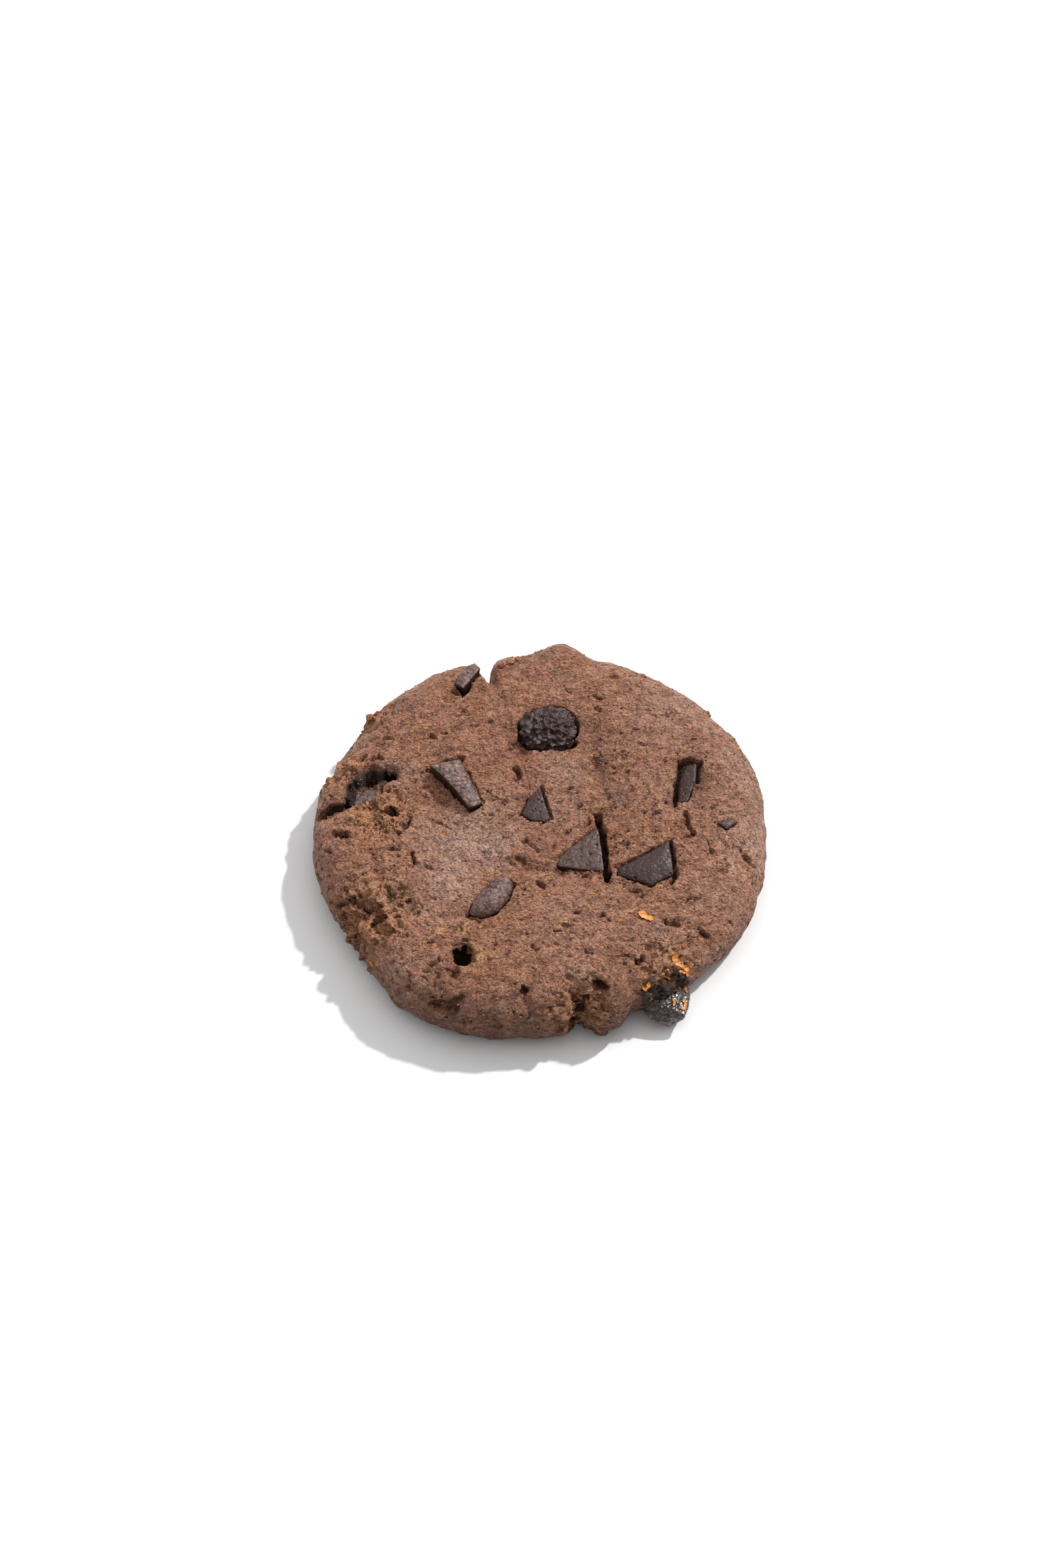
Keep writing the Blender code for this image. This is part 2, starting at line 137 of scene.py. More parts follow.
# Patches where the skin broke and coarse crumb shows: (x, y, radius, roughness)
CRAGS = (
    (-29.0, -19.5, 7.0, 1.9),
    (-29.5, 0.6, 6.5, 1.2),
    (-31.0, 24.0, 5.0, 1.0),
    (-35.0, 10.5, 4.0, 0.8),
    (7.0, -38.0, 5.0, 1.1),
    (21.0, -30.5, 5.0, 0.9),
    (34.0, -9.0, 5.0, 0.6),
)

# Layered noise: how fast its layers fade, how much finer each one is, and how many there are
SKIN_OCTAVES = (1.0, 2.0, 4)
SLOW_OCTAVES = (1.0, 2.0, 3)
CLUSTER_OCTAVES = (1.0, 2.0, 2)
WRINKLE_OCTAVES = (0.9, 2.0, 3)
GRAIN_OCTAVES = (0.9, 2.0, 2)
LUMP_OCTAVES = (0.8, 2.0, 4)
CRAG_OCTAVES = (0.8, 2.0, 3)
RIFT_OCTAVES = (0.7, 2.1, 4)

# The dough's relief: grain sizes, widths and depths in millimetres, and shares
SKIN_ROUGHNESS = 0.34
SKIN_GRAIN = 5.5
CRAG_GRAIN = 2.6
CRAG_SINK = 0.35
FOOT_FADE = 0.2
LOWEST_SIDE = 0.02
EDGE_GRAIN = 0.9
EDGE_WANDER = 0.26
LUMP_GRAIN = 2.6
LUMP_HEIGHT = 0.20
FOLD_GRAIN = 1.5
FOLD_WIDTH = 0.10
FOLD_DEPTH = 0.16
FOLD_STRETCH = (0.62, 1.0, 1.0)
CRACK_GRAIN = 1.9
CRACK_WIDTH = 0.09
CRACK_DEPTH = 0.9
CRUMB_RELIEF = ((1.5, 0.9), (0.7, 0.45))
CRUMB_MIDDLE = 0.45
SKIN_CRUMB = 0.04
CRAG_CRUMB = 0.8
RIFT_GRAIN = 0.85
RIFT_CLUSTER_GRAIN = 7.0
RIFT_LIMIT = -0.62
RIFT_SOFTNESS = 0.25
RIFT_DEPTH = 0.5
PORE_CLUSTER_GRAIN = 6.0
GAP_SOFTNESS = 0.3
TEAR_WANDER = 0.3
FOOT_ROUGHNESS = 0.12

# Depths at which a pore and a gap get their full painted shade, and how much painted shade the crags' cracks
# get
DARK_PORE = 0.55
DARK_GAP = 1.6
DARK_CRACK = 0.6

# Beds of the chunks: softness and inset of a bed's edge, how much shallower it is than its chunk, the height
# above which the skin is sunk, room round a lump, depth of a lump's bed and the rim lump's dent in the rim
BED_SOFTNESS = 0.30
BED_INSET = 0.10
BED_COVER = 1.0
BED_LIMIT = 5.0
LUMP_ROOM = 0.2
LUMP_BED = 3.5
RIM_DENT = 5.0

# How fine the meshes are, and the share of the dough's faces that is kept
DOUGH_LEVEL = 8
LUMP_LEVEL = 7
BIT_LEVEL = 4
DOUGH_KEEP = 0.6

# Chocolate chunks. Outline corners are (x, y); slope is the rise of the top per millimetre along X and Y,
# taper the bottom's size against the top's, crinkle the depth of the dried skin's wrinkles, bloom the
# share of the pale bloom and of the painted sheen on the upward faces, and holes the number of pinholes
CHUNKS = {
    "chunk_slab": {
        "outline": ((-19.7, 8.9), (-14.2, 10.9), (-10.2, 1.8), (-12.4, 0.5), (-15.6, 4.9), (-17.6, 7.2)),
        "slope": (-0.16, 0.03), "depth": 4.6, "taper": 0.86, "bevel": 0.3, "crown": 0.35,
        "crinkle": 0.17, "bloom_and_sheen": 1.0, "holes": 6,
    },
    "chunk_wedge": {
        "outline": ((-0.1, 5.2), (1.7, -1.5), (0.8, -2.3), (-1.5, -1.9), (-3.4, -0.5), (-2.2, 2.6)),
        "slope": (0.05, 0.03), "depth": 4.0, "taper": 0.8, "bevel": 0.25, "crown": 0.2,
        "crinkle": 0.04, "bloom_and_sheen": 0.05, "holes": 9,
    },
    "chunk_centre": {
        "outline": ((10.0, -3.8), (10.7, -9.0), (10.9, -12.6), (6.6, -12.3), (2.8, -11.7), (2.9, -10.3),
                    (6.2, -6.9)),
        "slope": (-0.02, 0.10), "depth": 4.8, "taper": 0.85, "bevel": 0.3, "crown": 0.15,
        "crinkle": 0.06, "bloom_and_sheen": 0.3, "holes": 6,
    },
    "chunk_right": {
        "outline": ((22.3, -6.6), (23.0, -13.4), (19.0, -15.8), (16.9, -14.8), (13.2, -13.6), (13.3, -12.0),
                    (17.2, -10.0)),
        "slope": (0.03, 0.08), "depth": 4.8, "taper": 0.85, "bevel": 0.35, "crown": 0.45,
        "crinkle": 0.06, "bloom_and_sheen": 0.0, "holes": 5,
    },
    "chunk_almond": {
        "outline": ((-12.6, -21.8), (-10.2, -22.5), (-7.4, -21.4), (-5.4, -18.8), (-4.4, -15.6),
                    (-5.4, -13.9), (-7.4, -13.8), (-10.0, -16.2), (-12.0, -19.2)),
        "slope": (0.02, 0.05), "depth": 4.2, "taper": 0.7, "bevel": 0.8, "crown": 1.5,
        "crinkle": 0.10, "bloom_and_sheen": 0.8, "holes": 5,
    },
    "chunk_slot": {
        "outline": ((25.4, 9.6), (27.6, 10.0), (27.3, 6.4), (25.8, 1.8), (24.0, 1.8), (24.2, 5.4)),
        "slope": (0.25, 0.0), "depth": 4.2, "taper": 0.85, "bevel": 0.3, "crown": 0.15,
        "crinkle": 0.06, "bloom_and_sheen": 0.0, "holes": 3,
    },
    "chunk_slit": {
        "outline": ((30.8, -1.9), (33.2, -0.8), (34.6, -1.2), (32.5, -3.1)),
        "slope": (-0.2, 0.1), "depth": 2.2, "taper": 0.8, "bevel": 0.2, "crown": 0.1,
        "crinkle": 0.04, "bloom_and_sheen": 0.2, "holes": 0,
    },
    "chunk_left_edge": {
        "outline": ((-33.0, 3.0), (-32.6, 5.6), (-30.6, 6.8), (-27.0, 7.0), (-28.3, 5.1), (-30.9, 3.7)),
        "slope": (-0.10, 0.05), "depth": 3.4, "taper": 0.85, "bevel": 0.3, "crown": 0.25,
        "crinkle": 0.03, "bloom_and_sheen": 0.55, "holes": 2,
    },
    "chunk_sliver": {
        "outline": ((-13.8, 26.0), (-15.2, 27.3), (-14.8, 29.9), (-13.1, 32.6), (-11.7, 33.5), (-10.7, 31.8),
                    (-12.2, 29.0)),
        "slope": (0.02, -0.26), "depth": 3.2, "taper": 0.8, "bevel": 0.3, "crown": 0.3,
        "crinkle": 0.10, "bloom_and_sheen": 0.7, "holes": 2,
    },
}

# The chunks' skin: size and height of its swells and of its grit, half width of a wrinkle as a share of
# their spacing, radius, its spread and depth of a pinhole, and the seed of the first chunk's pinholes
SWELL_GRAIN = 2.4
SWELL_HEIGHT = 0.10
GRIT_GRAIN = 0.5
GRIT_HEIGHT = 0.02
WRINKLE_WIDTH = 0.16
PINHOLE_RADIUS = 0.13
PINHOLE_SPREAD = 0.1
PINHOLE_DEPTH = 0.30
PINHOLE_SEED = 31

# Facets of the lump at the rim: the way each one faces, and its share of the lump's size
RIM_FACETS = (
    (0.15, -0.2, 0.97, 0.78),
    (-0.3, -0.7, 0.65, 0.80),
    (0.75, -0.1, 0.65, 0.88),
    (0.95, -0.25, -0.15, 0.95),
    (0.6, -0.5, -0.62, 0.86),
    (-0.7, -0.45, -0.55, 0.80),
    (-0.98, -0.2, 0.05, 1.0),
    (0.0, -1.0, 0.1, 0.95),
    (0.0, 0.0, -1.0, 1.0),
    (0.0, 1.0, 0.0, 1.0),
)

# Rough lumps: centre, half sizes, turn about Z, depth and size of their wrinkles, depth and size of the fine
# wrinkles, height of the cobbles they are made of, and either squareness or flat facets
LUMPS = {
    "chunk_crumbly": {
        "centre": (1.4, 18.7, 11.5), "half": (5.4, 4.5, 3.0), "turn": 10.0, "wrinkle": 1.3, "grain": 2.6,
        "fine": 0.25, "fine_grain": 0.8, "cobbles": 1.0, "boxy": 2.5,
    },
    "chunk_rim": {
        "centre": (21.5, -34.0, 2.7), "half": (4.0, 3.2, 2.8), "turn": 8.0, "wrinkle": 0.45, "grain": 1.9,
        "fine": 0.10, "fine_grain": 1.2, "cobbles": 0.12, "facets": RIM_FACETS,
    },
}
FACET_POWER = 16    # the higher, the sharper the edges between facets
COBBLE_GRAINS = (1.8, 0.8)

# Sharp gaps beside the chunks and tears in the skin: the plan points they follow, half width and depth
GAPS = (
    (((-19.9, 9.3), (-17.5, 10.3), (-14.0, 11.5)), 0.50, 2.2),
    (((-12.9, 8.9), (-9.9, 2.2)), 0.10, 1.0),
    (((0.1, 5.6), (2.0, -1.4)), 0.20, 1.4),
    (((-3.7, -0.6), (-2.4, 2.8)), 0.22, 1.1),
    (((10.1, -0.4), (10.6, -4.2), (11.1, -9.0), (11.4, -13.6)), 0.55, 3.8),
    (((2.7, -9.9), (6.0, -6.5), (9.9, -3.2)), 0.26, 1.3),
    (((12.9, -11.8), (17.0, -9.7), (22.4, -6.1)), 0.26, 1.6),
    (((22.7, -6.2), (23.4, -13.4), (22.4, -15.0)), 0.36, 2.0),
    (((25.0, 10.2), (23.9, 5.5), (23.6, 1.4)), 0.45, 2.2),
    (((25.0, 10.3), (26.6, 10.7), (28.2, 10.3)), 0.60, 2.6),
    (((28.0, 9.8), (27.7, 6.3)), 0.35, 1.6),
    (((-33.6, 3.6), (-33.2, 6.0), (-30.8, 7.4), (-27.4, 7.7), (-25.9, 8.3)), 0.60, 2.2),
    (((-38.8, 2.4), (-36.6, 3.2), (-34.0, 3.3)), 0.50, 1.8),
    (((-3.6, 16.4), (-2.2, 15.0), (0.6, 13.9), (3.8, 14.2), (6.1, 15.8)), 0.50, 2.4),
    (((-12.9, -20.9), (-12.8, -22.1), (-10.3, -22.9)), 0.20, 0.9),
    (((30.6, -2.1), (32.5, -3.3), (34.4, -1.6)), 0.25, 1.0),
    (((-18.7, -37.0), (-16.4, -37.3), (-13.8, -37.2)), 0.40, 1.1),
    (((5.2, -35.4), (6.4, -37.2), (8.2, -39.6)), 0.35, 0.8),
    (((-15.5, 26.6), (-14.0, 25.4), (-12.6, 28.0)), 0.35, 1.2),
    (((-4.8, -11.2), (-1.0, -11.8), (2.6, -12.4)), 0.16, 0.4),
)

# Ragged tears, pits and short cracks in the skin: the plan points they follow, half width and depth
TEARS = (
    (((-29.9, -0.7), (-28.8, 0.4), (-27.0, 0.7), (-25.7, 0.5)), 0.50, 1.7),
    (((-22.9, -0.3), (-23.4, -2.5), (-24.9, -3.8)), 0.38, 1.4),
    (((-36.2, -3.0), (-34.9, -3.7), (-33.7, -3.8)), 0.48, 1.5),
    (((-26.6, -7.4), (-24.7, -7.6)), 0.32, 1.1),
    (((-22.3, -8.3), (-21.7, -10.4)), 0.32, 1.8),
    (((-19.7, -0.6), (-18.2, -1.1), (-16.5, -2.1)), 0.18, 0.7),
    (((-27.3, 9.3), (-26.2, 8.6)), 0.50, 2.4),
    (((-14.0, -28.9), (-13.1, -28.7)), 0.80, 2.6),
    (((-14.9, -31.2), (-14.5, -31.6)), 0.38, 1.3),
    (((-3.1, -35.8), (-2.8, -36.3)), 0.42, 1.5),
    (((9.3, -34.7), (10.2, -35.0), (11.0, -35.5)), 0.52, 1.7),
    (((-13.8, -36.6), (-13.3, -36.7)), 0.22, 0.8),
    (((-18.4, -37.1), (-17.0, -37.6)), 0.32, 0.9),
    (((-16.2, -37.9), (-14.4, -38.3)), 0.35, 1.0),
    (((7.5, -36.3), (6.5, -36.9), (6.2, -38.2), (5.3, -39.2)), 0.48, 1.4),
    (((21.3, -23.0), (22.3, -22.9), (23.5, -23.2)), 0.38, 1.3),
    (((27.7, -24.0), (28.6, -24.3)), 0.42, 1.3),
    (((16.6, -17.3), (17.7, -17.6)), 0.26, 0.9),
    (((-0.4, -15.3), (0.5, -16.3)), 0.30, 1.3),
    (((25.7, 14.4), (26.7, 14.0)), 0.50, 1.5),
    (((-4.3, 9.7), (-3.8, 8.6), (-4.2, 7.2)), 0.42, 1.3),
    (((-19.8, 16.5), (-18.7, 16.4)), 0.24, 0.9),
    (((-17.6, 17.3), (-16.9, 17.2)), 0.24, 0.9),
    (((-12.4, 18.8), (-11.2, 18.8)), 0.22, 0.8),
    (((12.8, 30.8), (13.7, 30.2)), 0.32, 1.0),
    (((9.5, 25.8), (10.7, 25.0)), 0.30, 0.8),
    (((9.7, 23.2), (10.6, 22.2)), 0.30, 0.8),
    (((25.3, -0.6), (25.7, -2.4), (26.6, -4.8)), 0.40, 1.3),
    (((29.2, -5.8), (29.7, -8.2)), 0.20, 1.2),
    (((34.0, -6.4), (35.4, -7.0), (36.6, -8.8)), 0.22, 0.9),
    (((33.7, 0.5), (34.7, 0.3)), 0.22, 0.8),
    (((36.0, 3.6), (36.7, 3.4)), 0.22, 0.8),
    (((-29.0, 15.1), (-27.8, 15.6)), 0.26, 1.0),
    (((-27.4, 16.9), (-26.2, 16.6)), 0.26, 1.0),
    (((-30.1, 11.9), (-28.9, 12.5), (-28.0, 12.1)), 0.32, 1.3),
    (((-32.2, 12.1), (-31.1, 13.0)), 0.32, 1.3),
    (((-35.1, -16.4), (-33.6, -16.6), (-32.2, -17.1)), 0.32, 1.3),
    (((-31.3, -17.8), (-29.4, -18.7), (-27.7, -19.2)), 0.34, 1.4),
    (((-30.3, -20.3), (-28.9, -20.6), (-27.3, -20.9)), 0.34, 1.4),
    (((-28.8, -22.7), (-27.4, -23.8), (-25.3, -23.9)), 0.32, 1.2),
    (((-34.1, -18.1), (-33.2, -19.5)), 0.26, 1.1),
    (((-26.0, -16.8), (-24.3, -18.2), (-22.9, -17.9)), 0.26, 1.2),
    (((-25.4, -20.8), (-23.7, -21.8)), 0.26, 1.1),
    (((-24.1, -25.6), (-22.8, -25.2)), 0.22, 0.9),
    (((16.6, -30.4), (17.5, -29.6), (18.6, -30.2)), 0.42, 1.3),
    (((-11.1, -7.0), (-9.7, -7.9)), 0.14, 0.6),
    (((7.7, -29.3), (8.6, -29.9)), 0.22, 0.8),
    (((2.3, -27.9), (3.2, -28.2)), 0.20, 0.7),
    (((-1.6, -28.3), (-0.7, -29.0)), 0.22, 0.8),
    (((3.2, -24.2), (4.3, -24.7)), 0.20, 0.7),
    (((-19.8, -11.1), (-18.7, -11.4)), 0.22, 0.9),
    (((-2.5, -6.2), (-1.3, -7.6), (-0.4, -8.4)), 0.28, 1.0),
    (((-4.2, -9.8), (-2.9, -10.6)), 0.28, 0.9),
    (((7.8, -2.8), (8.9, -1.8)), 0.32, 1.1),
    (((3.9, -4.8), (5.2, -3.6)), 0.22, 0.9),
)

# Where the crumb is dark (moist crumb, and painted shade on the front flank and in dips beside the chunks),
# where a painted sheen lies on slopes and rims that face the light, and where it is tan: (x, y, radius,
# share)
# Moist crumb at the rim lump and in the left recess, and painted shade along the front flank, beside the slot
# chunk and in dips
MOIST_AND_SHADE_PATCHES = (
    (18.0, -34.6, 1.1, 1.5),
    (19.2, -34.0, 1.1, 1.5),
    (20.6, -33.6, 1.1, 1.5),
    (22.1, -32.7, 1.1, 1.5),
    (23.8, -31.1, 1.0, 1.5),
    (24.9, -30.7, 0.8, 1.2),
    (19.4, -36.2, 1.8, 1.5),
    (22.0, -35.6, 2.2, 1.5),
    (24.8, -33.4, 1.8, 1.5),
    (19.2, -32.6, 1.2, 0.5),
    (20.6, -31.8, 1.3, 0.45),
    (22.6, -31.0, 1.1, 0.5),
    (8.0, 19.5, 2.4, 0.35),
    (4.2, 31.0, 1.8, 0.3),
    (-33.6, 6.8, 1.0, 1.4),
    (-33.2, 7.7, 1.1, 1.4),
    (-32.2, 8.6, 1.1, 1.4),
    (-30.9, 9.1, 1.1, 1.4),
    (-29.5, 9.4, 1.1, 1.4),
    (-28.1, 9.3, 1.1, 1.2),
    (-34.0, 4.2, 1.0, 0.8),
    (-37.0, 3.2, 1.2, 0.6),
    (27.0, 9.6, 2.4, 0.5),
    (28.8, 7.8, 1.8, 0.55),
    (28.0, 4.0, 2.0, 0.45),
    (10.2, 11.6, 1.4, 0.5),
    (-25.5, -33.5, 3.0, 0.2),
    (-20.0, -37.2, 3.2, 0.3),
    (-14.5, -39.3, 3.4, 0.4),
    (-8.5, -40.2, 3.6, 0.45),
    (-2.5, -40.7, 3.6, 0.45),
    (3.5, -41.0, 3.2, 0.35),
    (13.4, -38.6, 3.4, 0.5),
    (14.0, 4.0, 3.2, 0.25),
    (11.5, 16.0, 3.0, 0.2),
    (0.7, 36.5, 3.0, 0.3),
    (-24.0, 24.0, 3.5, 0.25),
    (-28.5, 18.0, 2.5, 0.15),
)
# Painted sheen and painted light: pale patches on slopes and rims that face the light, where the skin also
# shines a little more
SHEEN_PATCHES = (
    (5.0, -23.0, 9.0, 0.25),
    (36.0, 9.0, 7.0, 0.4),
    (37.0, -5.0, 7.0, 0.6),
    (33.0, -10.5, 5.0, 0.4),
    (-25.0, 9.5, 3.6, 0.35),
    (20.0, -26.0, 5.0, 0.35),
    (31.0, -17.0, 5.0, 0.3),
    (-18.5, -22.0, 4.0, 0.35),
    (-25.5, -17.0, 5.0, 0.3),
    (6.5, -33.0, 3.5, 0.35),
    (-14.0, -6.0, 7.5, 0.85),
    (-9.0, -6.5, 5.0, 0.9),
    (-15.5, -13.0, 5.5, 0.8),
    (-10.0, 1.0, 5.5, 0.45),
    (4.5, 9.0, 4.5, 0.5),
    (4.0, 0.5, 3.5, 0.45),
    (24.0, 22.0, 9.0, 0.35),
    (20.0, 4.0, 7.0, 0.2),
    (2.0, -22.0, 3.0, 0.3),
    (-24.0, -31.0, 5.0, 0.25),
)
TAN_PATCHES = (
    (-17.2, -24.6, 1.7, 1.0),
    (-13.4, -24.4, 1.6, 0.9),
    (-10.8, -30.0, 1.9, 0.9),
    (3.6, -24.0, 1.3, 0.5),
    (-33.5, 8.5, 2.6, 0.5),
    (1.5, -13.4, 2.4, 0.3),
    (-29.0, -16.0, 2.0, 0.35),
)

# Shreds of zest: the plan points they follow, and their width
ZEST = (
    (((22.4, -27.8), (22.9, -28.6), (23.4, -29.1), (24.2, -29.3), (25.0, -29.5), (25.1, -30.6)), 0.95),
    (((23.6, -30.4), (24.2, -30.2), (24.8, -30.0)), 0.6),
    (((24.8, -30.8), (25.1, -31.7)), 0.4),
    (((20.7, -31.1), (20.9, -31.5)), 0.4),
    (((21.2, -31.7), (22.1, -31.3)), 0.4),
    (((21.3, -30.4), (21.9, -30.7)), 0.3),
    (((17.2, -33.7), (17.8, -34.0), (18.3, -33.6), (18.4, -32.7)), 0.5),
    (((22.5, -33.6), (22.9, -34.3), (22.7, -35.0)), 0.4),
    (((24.4, -33.0), (24.8, -34.0), (24.6, -35.0), (24.2, -35.6)), 0.5),
    (((24.3, -26.3), (24.4, -26.9)), 0.35),
    (((16.7, -21.2), (17.5, -21.8), (18.3, -22.4), (19.3, -22.5)), 1.05),
    (((35.2, 16.4), (35.5, 16.0)), 0.4),
)
SHRED_STEPS = 14    # between two points of a path
SHRED_SMOOTHING = 6
SHRED_RIBS = (-1.0, -0.35, 0.35, 1.0)
SHRED_THICKNESS = 0.16
SHRED_LIFT = 0.20
SHRED_CURL = 0.10

# Coarse crumbs stuck to the rim, and seeds: place, half length, half width, half thickness and turn
RIM_CRUMBS = (
    ((-6.9, 33.4, 11.6), 1.2, 0.7, 0.5, 20.0),
    ((-5.2, 34.4, 11.3), 0.9, 0.6, 0.5, -15.0),
    ((-3.9, 35.2, 10.9), 0.8, 0.5, 0.4, 10.0),
    ((-30.6, 23.8, 8.6), 0.9, 0.8, 0.6, 40.0),
    ((-29.4, 23.6, 9.6), 0.9, 0.6, 0.5, 10.0),
    ((30.2, 25.0, 8.0), 0.7, 0.6, 0.5, -30.0),
    ((18.8, 31.6, 10.6), 0.7, 0.5, 0.4, 0.0),
)
SEEDS = (
    ((-30.2, -27.9, 6.0), 0.75, 0.42, 0.25, 15.0),
    ((-28.0, -28.4, 7.7), 0.5, 0.3, 0.2, 60.0),
    ((5.6, 7.0, 12.4), 0.45, 0.22, 0.18, -20.0),
)

# What is strewn over the dough: smallest and largest half length, raggedness, flatness, share of free tilt,
# and roundness, which is the level of the round mesh it starts from
STREWN = {
    "loose_crumbs": (0.10, 0.30, 0.22, 0.7, 1.0, 2),
    "bran_flecks": (0.08, 0.22, 0.10, 0.35, 0.5, 2),
    "sugar_crystals": (0.045, 0.10, 0.05, 0.8, 1.0, 1),
}
PER_SQUARE_CM = 10000.0
BIT_WIDTH = 0.7         # share of a bit's length
BIT_GRAIN = 0.22
FLATTEST_SIDE = 0.2     # bits lie where the skin faces up by more than this
OPEN_HOLLOW = 0.3       # and where it is less hollow than this

# The studio: half width of the floor in metres, the way to the key light, and the camera's place in
# millimetres, its tilt in degrees and its sensor
FLOOR_REACH = 3.0
KEY_DIRECTION = (4.7, 4.0, 6.0)
CAMERA_PLACE = (-3.07, -355.06, 508.94)
CAMERA_TILT = 36.0
SENSOR_WIDTH = 36.0

# Inputs of texture and range nodes, in the order in which tables give them
NOISE = ("Vector", "Scale", "Detail", "Roughness", "Distortion")
RANGE = ("Value", "From Min", "From Max", "To Min", "To Max")


def linear(hex_colour):
    """An sRGB hex colour as linear values"""
    parts = [int(hex_colour[place:place + 2], 16) / 255.0 for place in (1, 3, 5)]
    return tuple(v / 12.92 if v <= 0.04045 else ((v + 0.055) / 1.055) ** 2.4 for v in parts) + (1.0,)


def placed(points):
    """Points of the tables, in millimetres, as metres about the origin"""
    return (np.asarray(points, dtype=float) + np.array(CENTRING)) * MM


def feed(tree, made, inputs):
    """Set a node's inputs: one that is given a socket is linked, any other gets its value"""
    for key, value in inputs.items():
        if isinstance(value, bpy.types.NodeSocket):
            tree.links.new(value, made.inputs[key])
        else:
            made.inputs[key].default_value = value
    return made


def node(tree, kind, inputs=None, **settings):
    """Add a node with its settings and links"""
    made = tree.nodes.new(kind)
    for name, value in settings.items():
        setattr(made, name, value)
    return feed(tree, made, inputs or {})


def first_outputs(tree, kind, names, rows, **settings):
    """Add a node for each row of values for the named inputs, and return the first output of each"""
    return [node(tree, kind, dict(zip(names, row)), **settings).outputs[0] for row in rows]


def scale_of(size_mm):
    """A texture's scale for a pattern of a real size, in millimetres"""
    return 1.0 / (size_mm * MM)


def fractal(points, grain, octaves):
    """Layered noise at each point, one value a point"""
    scaled = (np.asarray(points) / grain).tolist()
    return np.array([noise.fractal(point, *octaves) for point in scaled])


def cells(points, grain):
    """Distances from each point to the nearest and the next middle of loose cells"""
    scaled = (np.asarray(points) / grain).tolist()
    return np.array([noise.voronoi(point)[0][:2] for point in scaled]).T


def ridges(points, grain):
    """Sharp creases between rounded cells, 1 on a crease and 0 inside a cell"""
    nearest, following = cells(points, grain)
    return np.exp(-((following - nearest) / WRINKLE_WIDTH) ** 2)


def smooth_step(value):
    """A soft ramp from 0 to 1"""
    value = np.clip(value, 0.0, 1.0)
    return value * value * (3.0 - 2.0 * value)


def spot_share(x, y, mid_x, mid_y, radius, steepness=1):
    """A soft-edged round spot in plan: 1 in its middle and 0 outside it"""
    return np.exp(-(((x - mid_x) ** 2 + (y - mid_y) ** 2) / radius ** 2) ** steepness)


def patch_share(x, y, patches):
    """How far plan points belong to soft-edged round patches"""
    share = np.zeros_like(x)
    for *spot, strength in patches:
        share = np.maximum(share, strength * spot_share(x, y, *spot))
    return np.minimum(share, 1.0)


def crag_share(x, y):
    """How broken the skin is at plan points, and the roughness there"""
    share = np.zeros_like(x)
    rough = np.zeros_like(x)
    for *spot, roughness in CRAGS:
        here = spot_share(x, y, *spot, steepness=2)
        share = np.maximum(share, here)
        rough = rough + here * roughness
    return share, rough


def distance_to_line(x, y, start_x, start_y, end_x, end_y):
    """Distance in plan from points to a straight stretch"""
    along_x = end_x - start_x
    along_y = end_y - start_y
    share = ((x - start_x) * along_x + (y - start_y) * along_y) / (along_x ** 2 + along_y ** 2)
    share = np.clip(share, 0.0, 1.0)
    return np.hypot(x - start_x - share * along_x, y - start_y - share * along_y)


def inside_distance(x, y, outline):
    """Distance in plan to an outline, negative inside it"""
    away = np.full_like(x, np.inf)
    inside = np.zeros(len(x), dtype=bool)
    for (ax, ay), (bx, by) in zip(outline, outline[1:] + outline[:1]):
        away = np.minimum(away, distance_to_line(x, y, ax, ay, bx, by))
        crosses = (ay > y) != (by > y)
        if ay != by:
            inside ^= crosses & (x < (bx - ax) * (y - ay) / (by - ay) + ax)
    return np.where(inside, -away, away)


def rim_radius(angle):
    """The outline's radius: a smooth closed curve through the radii, with its bumps and notches"""
    radii = np.array(RIM_RADII)
    degrees = np.degrees(angle) % 360.0
    place = degrees / (360.0 / len(radii))
    first = place.astype(int)
    part = place - first
    before, start, end, after = (radii[(first + k) % len(radii)] for k in (-1, 0, 1, 2))
    bend = 3.0 * (start - end) + after - before
    slope = 2.0 * before - 5.0 * start + 4.0 * end - after + part * bend
    radius = start + 0.5 * part * (end - before + part * slope)
    for mark, width, height in RIM_MARKS:
        away = (degrees - mark + 180.0) % 360.0 - 180.0
        radius = radius + height * np.exp(-((away / width) ** 2))
    return radius


def relief(x, y, z):
    """Height of the baked surface over the plain form, in millimetres"""
    points = np.stack([x, y, z], axis=1)
    height = SKIN_ROUGHNESS * fractal(points, SKIN_GRAIN, SKIN_OCTAVES)
    for *spot, rise in SWELLS:
        height += rise * spot_share(x, y, *spot)
    for *line, width, depth in CREASES:
        height -= depth * np.exp(-(distance_to_line(x, y, *line) / width) ** 2)
    for *spot, depth in PITS:
        height -= depth * spot_share(x, y, *spot, steepness=2)
    rough = crag_share(x, y)[1]
    broken = rough > 0.01
    height[broken] += rough[broken] * (fractal(points[broken], CRAG_GRAIN, CRAG_OCTAVES) - CRAG_SINK)
    return height


